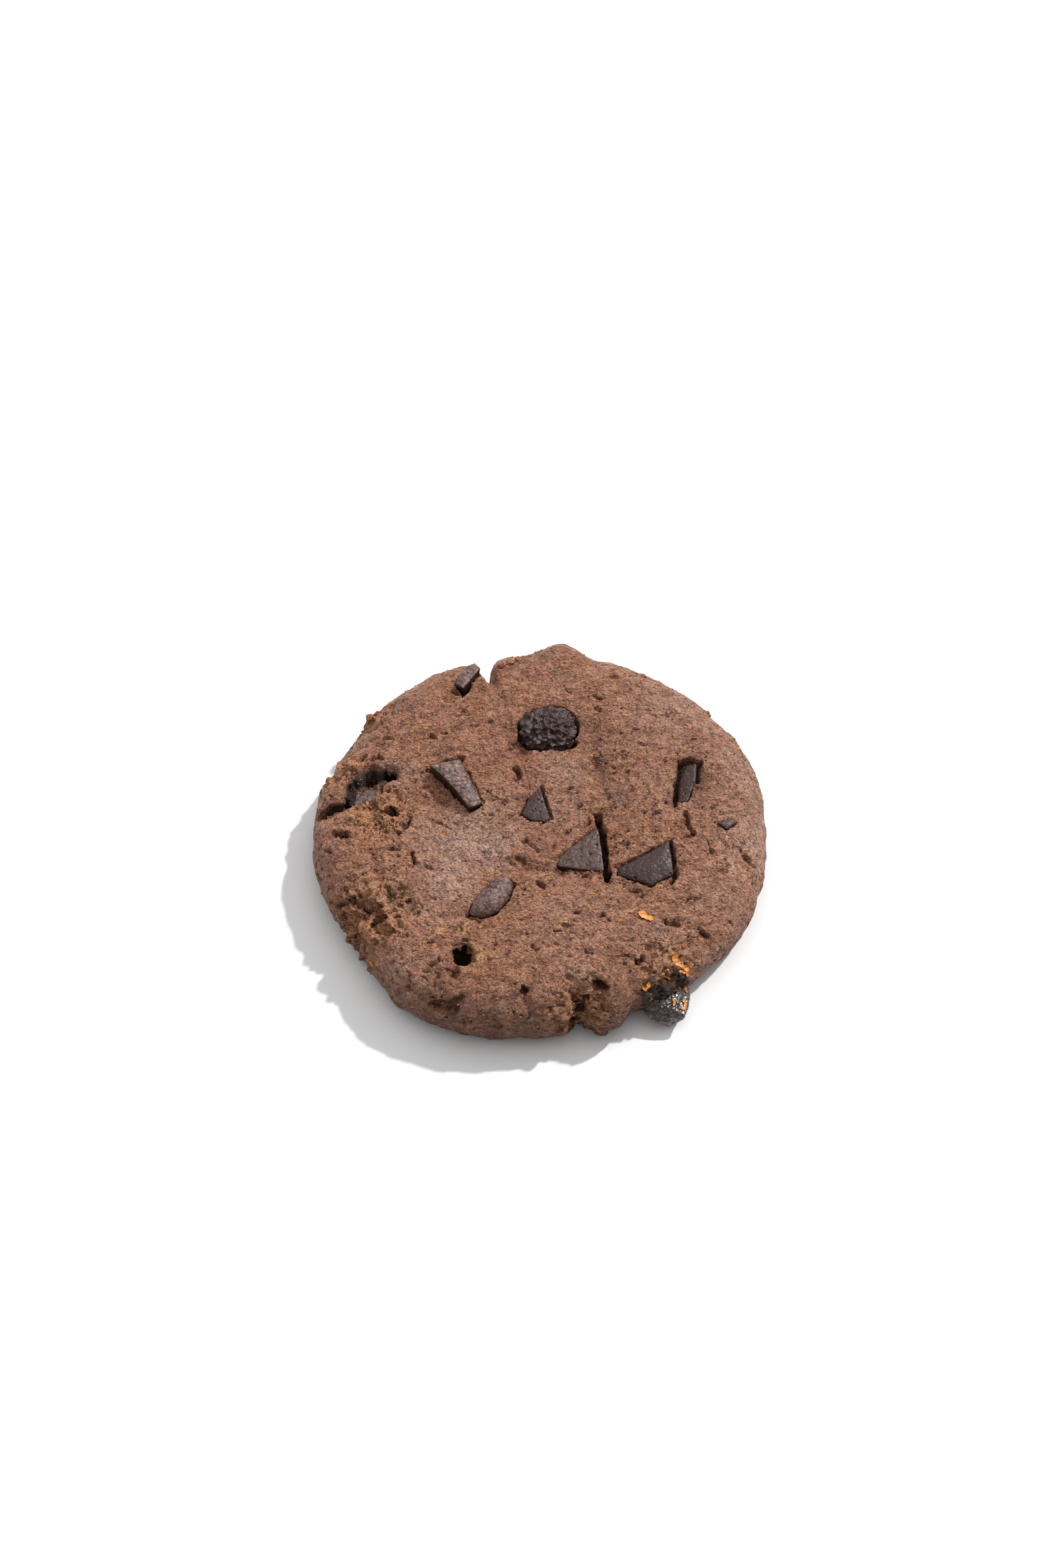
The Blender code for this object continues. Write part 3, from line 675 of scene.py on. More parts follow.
def dough_points(directions):
    """Where points of the unit sphere land on the baked surface, in millimetres, and 1 on the free skin and 0
    on the foot"""
    angle = np.arctan2(directions[:, 1], directions[:, 0])
    rim = rim_radius(angle)
    cover = (1.0 - directions[:, 2]) / 2.0
    top = cover <= TOP_SHARE
    foot = cover > 1.0 - FOOT_SHARE
    share = np.sqrt(np.clip(cover / TOP_SHARE, 0.0, 1.0))
    down = np.clip((cover - TOP_SHARE) / (1.0 - FOOT_SHARE - TOP_SHARE), 0.0, 1.0)
    lean = np.radians(90.0 - 180.0 * down)
    upper = lean > 0.0
    width = np.where(upper, SHOULDER_WIDTH, UNDERCUT_WIDTH)
    rise = np.where(upper, TOP_HEIGHT - RIM_HEIGHT, RIM_HEIGHT)
    out = rim - width + width * np.cos(lean)
    z = RIM_HEIGHT + rise * np.sin(lean)
    out = np.where(top, (rim - SHOULDER_WIDTH) * share, out)
    z = np.where(top, TOP_HEIGHT + DOME_RISE * (1.0 - share ** 2), z)
    foot_out = (rim - UNDERCUT_WIDTH) * np.sqrt(np.clip((1.0 - cover) / FOOT_SHARE, 0.0, 1.0))
    out = np.where(foot, foot_out, out)
    z = np.where(foot, 0.0, z)
    hold = np.where(top, 1.0, np.clip((1.0 - down) / FOOT_FADE, 0.0, 1.0))
    x = OUTLINE_CENTRE[0] + out * np.cos(angle)
    y = OUTLINE_CENTRE[1] + out * np.sin(angle)
    lift = relief(x, y, z) * hold
    side = np.cos(lean) * lift
    x = x + side * np.cos(angle)
    y = y + side * np.sin(angle)
    z = np.where(foot, 0.0, np.maximum(LOWEST_SIDE, z + np.sin(lean) * lift))
    return np.stack([x, y, z], axis=1), hold * ~foot


def gap_depth(x, y, ragged):
    """Depth of the gaps and tears at plan points, with steep sides; the tears' sides are ragged too"""
    depth = np.zeros_like(x)
    for table, wander in ((GAPS, 0.0), (TEARS, TEAR_WANDER)):
        for path, width, deep in table:
            for start, end in zip(path, path[1:]):
                away = distance_to_line(x, y, *start, *end) + wander * ragged
                depth = np.maximum(depth, deep * smooth_step((width - away) / GAP_SOFTNESS + 0.5))
    return depth


def pore_depth(points, normals, hold, settings):
    """Small pores and short cracks, in loose clusters: how deep each vertex is sunk, in millimetres"""
    draw = np.random.default_rng(settings.seed)
    tree = kdtree.KDTree(len(points))
    for index, point in enumerate(points):
        tree.insert(point, index)
    tree.balance()
    depth = np.zeros(len(points))
    candidates = draw.choice(np.flatnonzero(hold > 0.3), 3 * settings.pore_count)
    cluster = 0.5 + 0.9 * fractal(points[candidates], PORE_CLUSTER_GRAIN, CLUSTER_OCTAVES)
    pale = patch_share(points[candidates, 0], points[candidates, 1], SHEEN_PATCHES)
    keep = draw.random(len(candidates)) < cluster * (1.0 - 0.8 * pale)
    centres = candidates[keep]
    sizes = settings.pore_mm * (0.3 + 0.5 * draw.random(len(centres)) ** 6)
    stretches = 1.2 + 2.2 * draw.random(len(centres))
    turns = draw.normal(0.0, 0.6, len(centres))
    for centre, size, stretch, turn in zip(centres, sizes, stretches, turns):
        normal = Vector(normals[centre])
        along = Vector((math.cos(turn), math.sin(turn), 0.0))
        along = (along - normal * along.dot(normal)).normalized()
        middle = Vector(points[centre])
        for place, index, gap in tree.find_range(middle, size * stretch * 1.5):
            offset = place - middle
            run = offset.dot(along)
            across = math.sqrt(max(0.0, gap * gap - run * run))
            away = (run / (size * stretch)) ** 2 + (across / size) ** 2
            ragged = 1.2 + 1.4 * noise.noise(place * 2.9)
            depth[index] = max(depth[index], 1.7 * size * math.exp(-(away * ragged) ** 2))
    return depth


def even_sphere(level):
    """Directions of an even round mesh's vertices, and its faces"""
    shape = bmesh.new()
    bmesh.ops.create_icosphere(shape, subdivisions=level, radius=1.0)
    directions = np.array([vert.co.normalized()[:] for vert in shape.verts])
    faces = [[vert.index for vert in face.verts] for face in shape.faces]
    shape.free()
    return directions, faces


def add_object(name, data):
    """A new object at the origin, in the scene"""
    item = bpy.data.objects.new(name, data)
    bpy.context.scene.collection.objects.link(item)
    return item


def mesh_object(name, points, faces):
    """A new smooth mesh object from points in metres"""
    mesh = bpy.data.meshes.new(name)
    mesh.from_pydata(points, [], faces)
    mesh.shade_smooth()
    return add_object(name, mesh)


def shape_object(name, shape):
    """A new mesh object from a finished bmesh, which is freed"""
    mesh = bpy.data.meshes.new(name)
    shape.to_mesh(mesh)
    shape.free()
    return add_object(name, mesh)


def vertex_array(mesh, kind="co"):
    """A mesh's vertex positions, or its normals, as an array"""
    values = np.empty(len(mesh.vertices) * 3)
    mesh.vertices.foreach_get(kind, values)
    return values.reshape(-1, 3)


def set_positions(mesh, points):
    """Write vertex positions, in metres"""
    mesh.vertices.foreach_set("co", np.asarray(points, dtype=np.float32).ravel())
    mesh.update()


def set_attribute(mesh, name, values):
    """A number on every vertex that a material reads"""
    layer = mesh.attributes.new(name, "FLOAT", "POINT")
    layer.data.foreach_set("value", np.asarray(values, dtype=np.float32))


def bake_modifiers(item):
    """Replace an object's mesh by what its modifiers make of it"""
    bpy.context.view_layer.update()
    graph = bpy.context.evaluated_depsgraph_get()
    result = bpy.data.meshes.new_from_object(item.evaluated_get(graph))
    item.modifiers.clear()
    old = item.data
    item.data = result
    bpy.data.meshes.remove(old)


def finish_piece(item, material, slot, *nodes):
    """Give a piece its material and its body, and hide the CAD nodes it stands for. The slot is not used"""
    item.data.materials.clear()
    item.data.materials.append(material)
    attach(item, "root")
    if nodes:
        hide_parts(*nodes)


def surface_of(item):
    """A tree that finds an object's surface"""
    bpy.context.view_layer.update()
    return bvhtree.BVHTree.FromObject(item, bpy.context.evaluated_depsgraph_get())


def skin_height(surfaces, x, y):
    """Height of the food over a plan point of the tables, in millimetres"""
    start = Vector(placed((x, y, 60.0)))
    found = [surface.ray_cast(start, Vector((0.0, 0.0, -1.0)))[0] for surface in surfaces]
    return max(spot.z for spot in found if spot) / MM


def new_material(name):
    """An empty node material with its tree and its Principled shader"""
    material = bpy.data.materials.new(name)
    material.use_nodes = True
    tree = material.node_tree
    return material, tree, tree.nodes["Principled BSDF"]


def baked_cocoa_dough(settings):
    """Baked cocoa dough: an open crumb under a thin skin. Its fat gives the skin a satin shine, helped by a
    painted sheen on slopes that face the light; the broken crumb is warm and dull, and painted shade darkens
    the pores, folds, gaps and low flank"""
    material, tree, shader = new_material("baked_cocoa_dough")
    place = node(tree, "ShaderNodeTexCoord").outputs["Object"]
    along = node(tree, "ShaderNodeMapping", {"Vector": place, "Scale": (0.86, 1.0, 1.0)}).outputs[0]
    height = node(tree, "ShaderNodeSeparateXYZ", {"Vector": place}).outputs["Z"]
    hollow, crag, painted_sheen, moist_and_shade, tan = (
        node(tree, "ShaderNodeAttribute", attribute_name=name).outputs["Fac"]
        for name in ("hollow", "crag", "painted_sheen", "moist_and_shade", "tan")
    )
    patches, folds, fines, rifts, holes = first_outputs(tree, "ShaderNodeTexNoise", NOISE, (
        (place, scale_of(6.0), 3.0, 0.5),
        (along, scale_of(1.7), 8.0, 0.62),
        (place, scale_of(settings.grain_mm), 4.0, 0.7),
        (along, scale_of(0.8), 5.0, 0.68),
        (along, scale_of(0.38), 2.0, 0.5),
    ))
    shift = node(tree, "ShaderNodeTexNoise", {"Vector": place, "Scale": scale_of(0.5), "Detail": 2.0})
    warped = node(tree, "ShaderNodeVectorMath", {0: shift.outputs["Color"], 1: (0.45 * MM,) * 3, 2: along},
                  operation="MULTIPLY_ADD").outputs[0]
    grains, specks = (
        node(tree, "ShaderNodeTexVoronoi", {"Vector": warped, "Scale": scale_of(size_mm)}).outputs
        for size_mm in (0.5, 0.25)
    )
    grain_pick, speck_pick = (
        node(tree, "ShaderNodeSeparateColor", {"Color": bits["Color"]}).outputs for bits in (grains, specks)
    )
    open_crumb, rift, pinholes, roughness = first_outputs(tree, "ShaderNodeMapRange", RANGE, (
        (rifts, 0.42, 0.50),
        (rifts, 0.40, 0.31),
        (holes, 0.38, 0.30),
        (painted_sheen, 0.0, 0.8, 0.48, 0.36),
    ))
    tan_crumb = node(tree, "ShaderNodeMath", {0: tan, 1: open_crumb}, operation="MULTIPLY").outputs[0]
    skin = linear(settings.brown)
    for value, low, high, most, colour in (
        (patches, 0.40, 0.60, 1.0, settings.reddish),
        (crag, 0.0, 1.0, 1.0, settings.crumb),
        # Painted sheen: a pale colour on slopes that face the light
        (painted_sheen, 0.0, 1.0, 1.0, settings.sheen_paint),
        (tan_crumb, 0.0, 1.0, 1.0, settings.tan),
        # Paler on raised folds and fine grains and darker in their hollows: painted light and shade that
        # follow the bump
        (folds, 0.48, 0.72, 0.7, settings.pale),
        (folds, 0.50, 0.30, 0.8, settings.dark),
        (fines, 0.50, 0.75, 0.5, settings.pale),
        (fines, 0.50, 0.28, 0.6, settings.dark),
        (speck_pick[0], 0.5, 1.0, 0.35, settings.pale),
        (speck_pick[1], 0.6, 1.0, 0.45, settings.dark),
        (grain_pick[0], 0.955, 0.97, 0.8, settings.spark),
        (grain_pick[1], 0.975, 0.985, 0.7, settings.tan),
        # Darker between the grains: painted shade in their crevices
        (grains["Distance"], 0.45, 0.95, 0.6, settings.dark),
        # Dark moist crumb, and painted shade on the front flank and in dips
        (moist_and_shade, 0.0, 1.0, 1.0, settings.moist_and_shade),
        # Painted shade inside rifts, pinholes and hollows, with the dark moist inside of the crumb
        (rift, 0.0, 1.0, 0.8, settings.pore),
        (holes, 0.36, 0.30, 0.8, settings.pore),
        (hollow, 0.5, 1.0, 0.8, settings.pore),
        # Darker down the flank towards the foot: painted shade
        (height, 8.5 * MM, 2.0 * MM, 0.5, settings.dark),
    ):
        amount = node(tree, "ShaderNodeMapRange", {"Value": value, "From Min": low, "From Max": high,
                                                   "To Max": most}).outputs[0]
        skin = node(tree, "ShaderNodeMix", {0: amount, 6: skin, 7: linear(colour)},
                    data_type="RGBA").outputs[2]
    rounded = node(tree, "ShaderNodeMath", {0: grains["Distance"], 1: 2.0}, operation="POWER").outputs[0]
    raised = folds
    for value, share in (
        (fines, 0.2),
        (rounded, -0.17),
        (specks["Distance"], -0.065),
        (rift, -0.22),
        (pinholes, -0.08),
    ):
        raised = node(tree, "ShaderNodeMath", {0: value, 1: share, 2: raised},
                      operation="MULTIPLY_ADD").outputs[0]
    bump = node(tree, "ShaderNodeBump", {"Height": raised, "Strength": 1.0,
                                         "Distance": settings.relief_mm * MM})
    feed(tree, shader, {"Base Color": skin, "Roughness": roughness, "Normal": bump.outputs[0],
                        "Specular IOR Level": 0.5})
    return material


def bloom_and_sheen_chocolate(settings):
    """Dark chocolate that softened in the oven and set again: a dull satin skin with a pale bloom and a
    painted sheen on its wrinkled upward faces, and smooth, darker broken sides"""
    material, tree, shader = new_material("bloom_and_sheen_chocolate")
    place = node(tree, "ShaderNodeTexCoord").outputs["Object"]
    bloom_and_sheen = node(tree, "ShaderNodeAttribute", attribute_name="bloom_and_sheen").outputs["Fac"]
    cloud, dimples = first_outputs(tree, "ShaderNodeTexNoise", NOISE, (
        (place, scale_of(0.9), 5.0, 0.7),
        (place, scale_of(0.5), 5.0, 0.5, 0.6),
    ))
    cracks = node(tree, "ShaderNodeTexVoronoi", {"Vector": place, "Scale": scale_of(1.0)},
                  feature="DISTANCE_TO_EDGE").outputs["Distance"]
    blotches, plates, gloss = first_outputs(tree, "ShaderNodeMapRange", RANGE, (
        (cloud, 0.36, 0.60),
        (cracks, 0.0, 0.06),
        (cloud, 0.3, 0.7, 0.36, 0.5),
    ))
    # Bloom and painted sheen, in blotches
    amount = node(tree, "ShaderNodeMath", {0: blotches, 1: bloom_and_sheen}, operation="MULTIPLY").outputs[0]
    tone = node(tree, "ShaderNodeMix", {0: amount, 6: linear(settings.chocolate), 7: linear(settings.bloom_and_sheen)},
                data_type="RGBA")
    height = node(tree, "ShaderNodeMath", {0: plates, 1: 0.35, 2: dimples}, operation="MULTIPLY_ADD")
    bump = node(tree, "ShaderNodeBump", {"Height": height.outputs[0], "Strength": 0.7, "Distance": 0.15 * MM})
    feed(tree, shader, {"Base Color": tone.outputs[2], "Roughness": gloss, "Normal": bump.outputs[0],
                        "Specular IOR Level": 0.38})
    return material


def melted_chocolate(settings):
    """Chocolate that ran out at the rim and set: wrinkled, black and glossy like a wet skin, with brown dough
    stuck to its foot"""
    material, tree, shader = new_material("melted_chocolate")
    place = node(tree, "ShaderNodeTexCoord").outputs["Object"]
    height = node(tree, "ShaderNodeSeparateXYZ", {"Vector": place}).outputs["Z"]
    cloud = node(tree, "ShaderNodeTexNoise", {"Vector": place, "Scale": scale_of(0.7),
                                              "Detail": 4.0}).outputs[0]
    gloss, low_down, blotches = first_outputs(tree, "ShaderNodeMapRange", RANGE, (
        (cloud, 0.35, 0.65, 0.12, 0.4),
        (height, 3.4 * MM, 1.6 * MM),
        (cloud, 0.4, 0.55),
    ))
    foot = node(tree, "ShaderNodeMath", {0: low_down, 1: blotches}, operation="MULTIPLY").outputs[0]
    tone = node(tree, "ShaderNodeMix", {0: foot, 6: linear(settings.melted), 7: linear(settings.foot)},
                data_type="RGBA")
    bump = node(tree, "ShaderNodeBump", {"Height": cloud, "Strength": 0.5, "Distance": 0.10 * MM})
    feed(tree, shader, {"Base Color": tone.outputs[2], "Roughness": gloss, "Normal": bump.outputs[0],
                        "Coat Weight": 0.6, "Coat Roughness": 0.15})
    return material


def spotted_food(name, base, spot, size_mm, roughness, translucent=0.0, detail=3.0, grit=0.5,
                 limits=(0.38, 0.62), dents=(0.5, 0.2)):
    """Food in two close tones: spots of a real size that also dent it, and light that soaks in a little.
    The dents have a strength, and a depth as a share of the spots' size"""
    material, tree, shader = new_material(name)
    place = node(tree, "ShaderNodeTexCoord").outputs["Object"]
    cloud = node(tree, "ShaderNodeTexNoise", {"Vector": place, "Scale": scale_of(size_mm), "Detail": detail,
                                              "Roughness": grit}).outputs[0]
    blotches = node(tree, "ShaderNodeMapRange", dict(zip(RANGE, (cloud, *limits)))).outputs[0]
    tone = node(tree, "ShaderNodeMix", {0: blotches, 6: linear(base), 7: linear(spot)}, data_type="RGBA")
    bump = node(tree, "ShaderNodeBump", {"Height": cloud, "Strength": dents[0],
                                         "Distance": dents[1] * size_mm * MM})
    feed(tree, shader, {"Base Color": tone.outputs[2], "Roughness": roughness, "Normal": bump.outputs[0],
                        "Subsurface Weight": translucent, "Subsurface Scale": 0.3 * MM})
    return material


def crumbly_chocolate(settings):
    """Chocolate that seized and crumbled: rough, open and nearly black, with a faint greasy shine"""
    return spotted_food("crumbly_chocolate", settings.seized, settings.chocolate, 0.6, 0.5, detail=5.0,
                        grit=0.7, limits=(0.4, 0.7), dents=(0.7, 0.25))


class DoughSettings(bpy.types.PropertyGroup):
    """Sizes and colours of the baked dough"""
    pore_count: bpy.props.IntProperty(name="Pores", description="Number of small pores", default=700, min=0)
    pore_mm: bpy.props.FloatProperty(name="Pore size", description="Radius of a large pore, in millimetres",
                                     default=0.5, min=0.05)
    grain_mm: bpy.props.FloatProperty(name="Grain", description="Size of the crumb's grains, in millimetres",
                                      default=0.3, min=0.02)
    relief_mm: bpy.props.FloatProperty(name="Relief", description="Depth of the skin's folds, in millimetres",
                                       default=2.4, min=0.0)
    seed: bpy.props.IntProperty(name="Seed", description="Seed of every random draw in the dough", default=7)
    brown: bpy.props.StringProperty(name="Brown", description="Main colour, sRGB hex", default="#a56843")
    reddish: bpy.props.StringProperty(name="Reddish", description="Red patches, sRGB hex", default="#af7357")
    # Pale of raised grains, also a painted highlight on raised folds
    pale: bpy.props.StringProperty(name="Pale", description="Raised grains, sRGB hex", default="#e4ac8a")
    # Dark of sunk grains, also painted shade in fold valleys, between grains and down the low flank
    dark: bpy.props.StringProperty(name="Dark", description="Sunk grains, sRGB hex", default="#5c3220")
    crumb: bpy.props.StringProperty(name="Crumb", description="Broken crumb, sRGB hex", default="#dc9663")
    # Painted sheen: the pale colour given to skin that faces the light
    sheen_paint: bpy.props.StringProperty(name="Dust", description="Pale dusty skin, sRGB hex", default="#d2b3a6")
    # Moist crumb, also used as painted shade on the front flank and in dips
    moist_and_shade: bpy.props.StringProperty(name="Moist", description="Moist crumb, sRGB hex", default="#2e1c18")
    tan: bpy.props.StringProperty(name="Tan", description="Tan flecks, sRGB hex", default="#dba46b")
    # Inside of a pore: painted shade with the dark moist crumb
    pore: bpy.props.StringProperty(name="Pore", description="Inside of a pore, sRGB hex", default="#2b150c")
    spark: bpy.props.StringProperty(name="Spark", description="Orange crumbs, sRGB hex", default="#b5683a")


class ChocolateSettings(bpy.types.PropertyGroup):
    """Sizes and colours of the chocolate"""
    voxel_mm: bpy.props.FloatProperty(name="Mesh size", default=0.16, min=0.05,
                                      description="Size of the chunks' faces, in millimetres")
    crinkle_mm: bpy.props.FloatProperty(name="Wrinkle size", default=1.1, min=0.1,
                                        description="Spacing of the wrinkles, in millimetres")
    chocolate: bpy.props.StringProperty(name="Chocolate", description="Dark chocolate, sRGB hex",
                                        default="#311a14")
    # Pale bloom, also a painted sheen on the chunks' upward faces
    bloom_and_sheen: bpy.props.StringProperty(name="Bloom", description="Pale bloom, sRGB hex", default="#8a6c63")
    seized: bpy.props.StringProperty(name="Seized", description="Crumbly lump, sRGB hex", default="#34221f")
    melted: bpy.props.StringProperty(name="Melted", description="Melted lump, sRGB hex", default="#2b1a16")
    foot: bpy.props.StringProperty(name="Foot", description="Dough stuck to the melted lump, sRGB hex",
                                   default="#5a3a28")


class ToppingSettings(bpy.types.PropertyGroup):
    """Numbers and colours of what lies on the dough"""
    crumbs: bpy.props.FloatProperty(name="Crumbs", description="Crumbs a square centimetre", default=24.0)
    crystals: bpy.props.FloatProperty(name="Crystals", description="Sugar crystals a square centimetre",
                                      default=9.0)
    bran: bpy.props.FloatProperty(name="Bran", description="Bran flakes a square centimetre", default=14.0)
    seed: bpy.props.IntProperty(name="Seed", description="Seed of the scattering", default=11)
    zest: bpy.props.StringProperty(name="Zest", description="Orange zest, sRGB hex", default="#d8913c")


class StageSettings(bpy.types.PropertyGroup):
    """The studio: floor, light and camera"""
    floor: bpy.props.StringProperty(name="Floor", description="The floor, sRGB hex", default="#e2e2e2")
    key: bpy.props.FloatProperty(name="Key light", description="Strength of the key light", default=3.3)
    fill: bpy.props.FloatProperty(name="Fill light", description="Strength of the surround", default=0.87)
    front: bpy.props.FloatProperty(name="Front share", description="Brightness of the surround in front",
                                   default=0.35, min=0.0, max=1.0)
    overhead: bpy.props.FloatProperty(name="Overhead share", description="Extra brightness straight above",
                                      default=0.5, min=0.0, max=1.0)
    key_angle: bpy.props.FloatProperty(name="Key softness", description="Apparent size of the key light",
                                       default=math.radians(3.0), subtype="ANGLE")
    lens: bpy.props.FloatProperty(name="Lens", description="Focal length of the camera, in millimetres",
                                  default=80.0)


class COOKIE_OT_dough(bpy.types.Operator):
    """Bake the dough: its lobes, creases, broken crumb, pores and the beds of the chunks"""
    bl_idname = "cookie.dough"
    bl_label = "Dough"

    def execute(self, context):
        settings = context.scene.cookie_dough
        directions, faces = even_sphere(DOUGH_LEVEL)
        points, hold = dough_points(directions)
        item = mesh_object("dough_body", placed(points), faces)
        normals = vertex_array(item.data, "normal")
        ragged = [fractal(points + shift, EDGE_GRAIN, WRINKLE_OCTAVES) for shift in (0.0, 40.0)]
        x = points[:, 0] + EDGE_WANDER * ragged[0]
        y = points[:, 1] + EDGE_WANDER * ragged[1]
        crag = crag_share(x, y)[0] * hold
        pale = patch_share(x, y, SHEEN_PATCHES)
        long = points * np.array(FOLD_STRETCH)
        cracks = smooth_step(1.0 - np.abs(fractal(points, CRACK_GRAIN, CRAG_OCTAVES)) / CRACK_WIDTH)
        folds = np.abs(fractal(long, FOLD_GRAIN, CRAG_OCTAVES))
        lumps = LUMP_HEIGHT * fractal(points, LUMP_GRAIN, LUMP_OCTAVES)
        lumps -= FOLD_DEPTH * np.exp(-(folds / FOLD_WIDTH) ** 2)
        broken = sum(depth * (CRUMB_MIDDLE - cells(points, size)[0]) for size, depth in CRUMB_RELIEF)
        broken -= CRACK_DEPTH * cracks
        rifts = fractal(long, RIFT_GRAIN, RIFT_OCTAVES)
        rifts += 0.35 * fractal(points, RIFT_CLUSTER_GRAIN, CLUSTER_OCTAVES)
        rifts = smooth_step((RIFT_LIMIT - rifts) / RIFT_SOFTNESS) * (1.0 - 0.7 * pale)
        pores = np.maximum(pore_depth(points, normals, hold, settings), RIFT_DEPTH * rifts)
        gaps = gap_depth(x, y, ragged[1])
        steady = np.clip(hold * 2.0, 0.0, 1.0)
        rise = lumps + (SKIN_CRUMB + CRAG_CRUMB * crag) * broken - pores - gaps
        points = points + normals * (rise * steady)[:, None]
        beds = self.sink_beds(points, x, y)
        foot = hold <= 0.0
        points[foot, 2] += FOOT_ROUGHNESS * np.clip(ragged[0][foot], 0.0, 1.0)
        points[:, 2] = np.maximum(points[:, 2], 0.0)
        set_positions(item.data, placed(points))
        # Painted shade: pores, gaps, the crags' cracks and the chunks' beds are darkened by their depth in
        # the material
        deep = np.maximum(np.clip(pores / DARK_PORE, 0.0, 1.0), np.clip(gaps / DARK_GAP, 0.0, 1.0))
        deep = np.maximum(deep, DARK_CRACK * crag * cracks)
        set_attribute(item.data, "hollow", np.maximum(deep, beds) * steady)
        set_attribute(item.data, "crag", crag)
        # Where the painted sheen lies
        set_attribute(item.data, "painted_sheen", pale * hold)
        # Moist crumb and painted shade
        set_attribute(item.data, "moist_and_shade", patch_share(x, y, MOIST_AND_SHADE_PATCHES) * hold)
        set_attribute(item.data, "tan", patch_share(x, y, TAN_PATCHES) * hold)
        thin = item.modifiers.new("thin", "DECIMATE")
        thin.ratio = DOUGH_KEEP
        bake_modifiers(item)
        item.data.shade_smooth()
        finish_piece(item, baked_cocoa_dough(settings), "baked_dough", "dough")
        return {"FINISHED"}

    def sink_beds(self, points, x, y):
        """Lower the dough under each chunk, and say how deep each vertex lies in a bed"""
        z = points[:, 2].copy()
        deep = np.zeros(len(points))
        top = z > BED_LIMIT
        for spec in CHUNKS.values():
            away = inside_distance(x, y, spec["outline"])
            fall = smooth_step((-BED_INSET - away) / BED_SOFTNESS + 0.5) * top
            points[:, 2] -= fall * (spec["depth"] - BED_COVER)
            deep = np.maximum(deep, fall)
        for spec in LUMPS.values():
            turn = math.radians(spec["turn"])
            half_x, half_y, half_z = (half + LUMP_ROOM for half in spec["half"])
            off_x = x - spec["centre"][0]
            off_y = y - spec["centre"][1]
            run = off_x * math.cos(turn) + off_y * math.sin(turn)
            across = off_y * math.cos(turn) - off_x * math.sin(turn)
            plan = np.sqrt((run / half_x) ** 2 + (across / half_y) ** 2)
            if spec["centre"][2] > RIM_HEIGHT:
                fall = smooth_step((1.02 - plan) / 0.1) * top
                points[:, 2] -= fall * LUMP_BED
            else:
                full = np.sqrt(plan ** 2 + ((z - spec["centre"][2]) / half_z) ** 2)
                fall = smooth_step((1.0 - full) / 0.2)
                push = np.clip(1.0 - full, 0.0, 1.0) * RIM_DENT
                length = np.hypot(points[:, 0], points[:, 1])
                points[:, 0] -= push * points[:, 0] / length
                points[:, 1] -= push * points[:, 1] / length
            deep = np.maximum(deep, fall)
        return deep


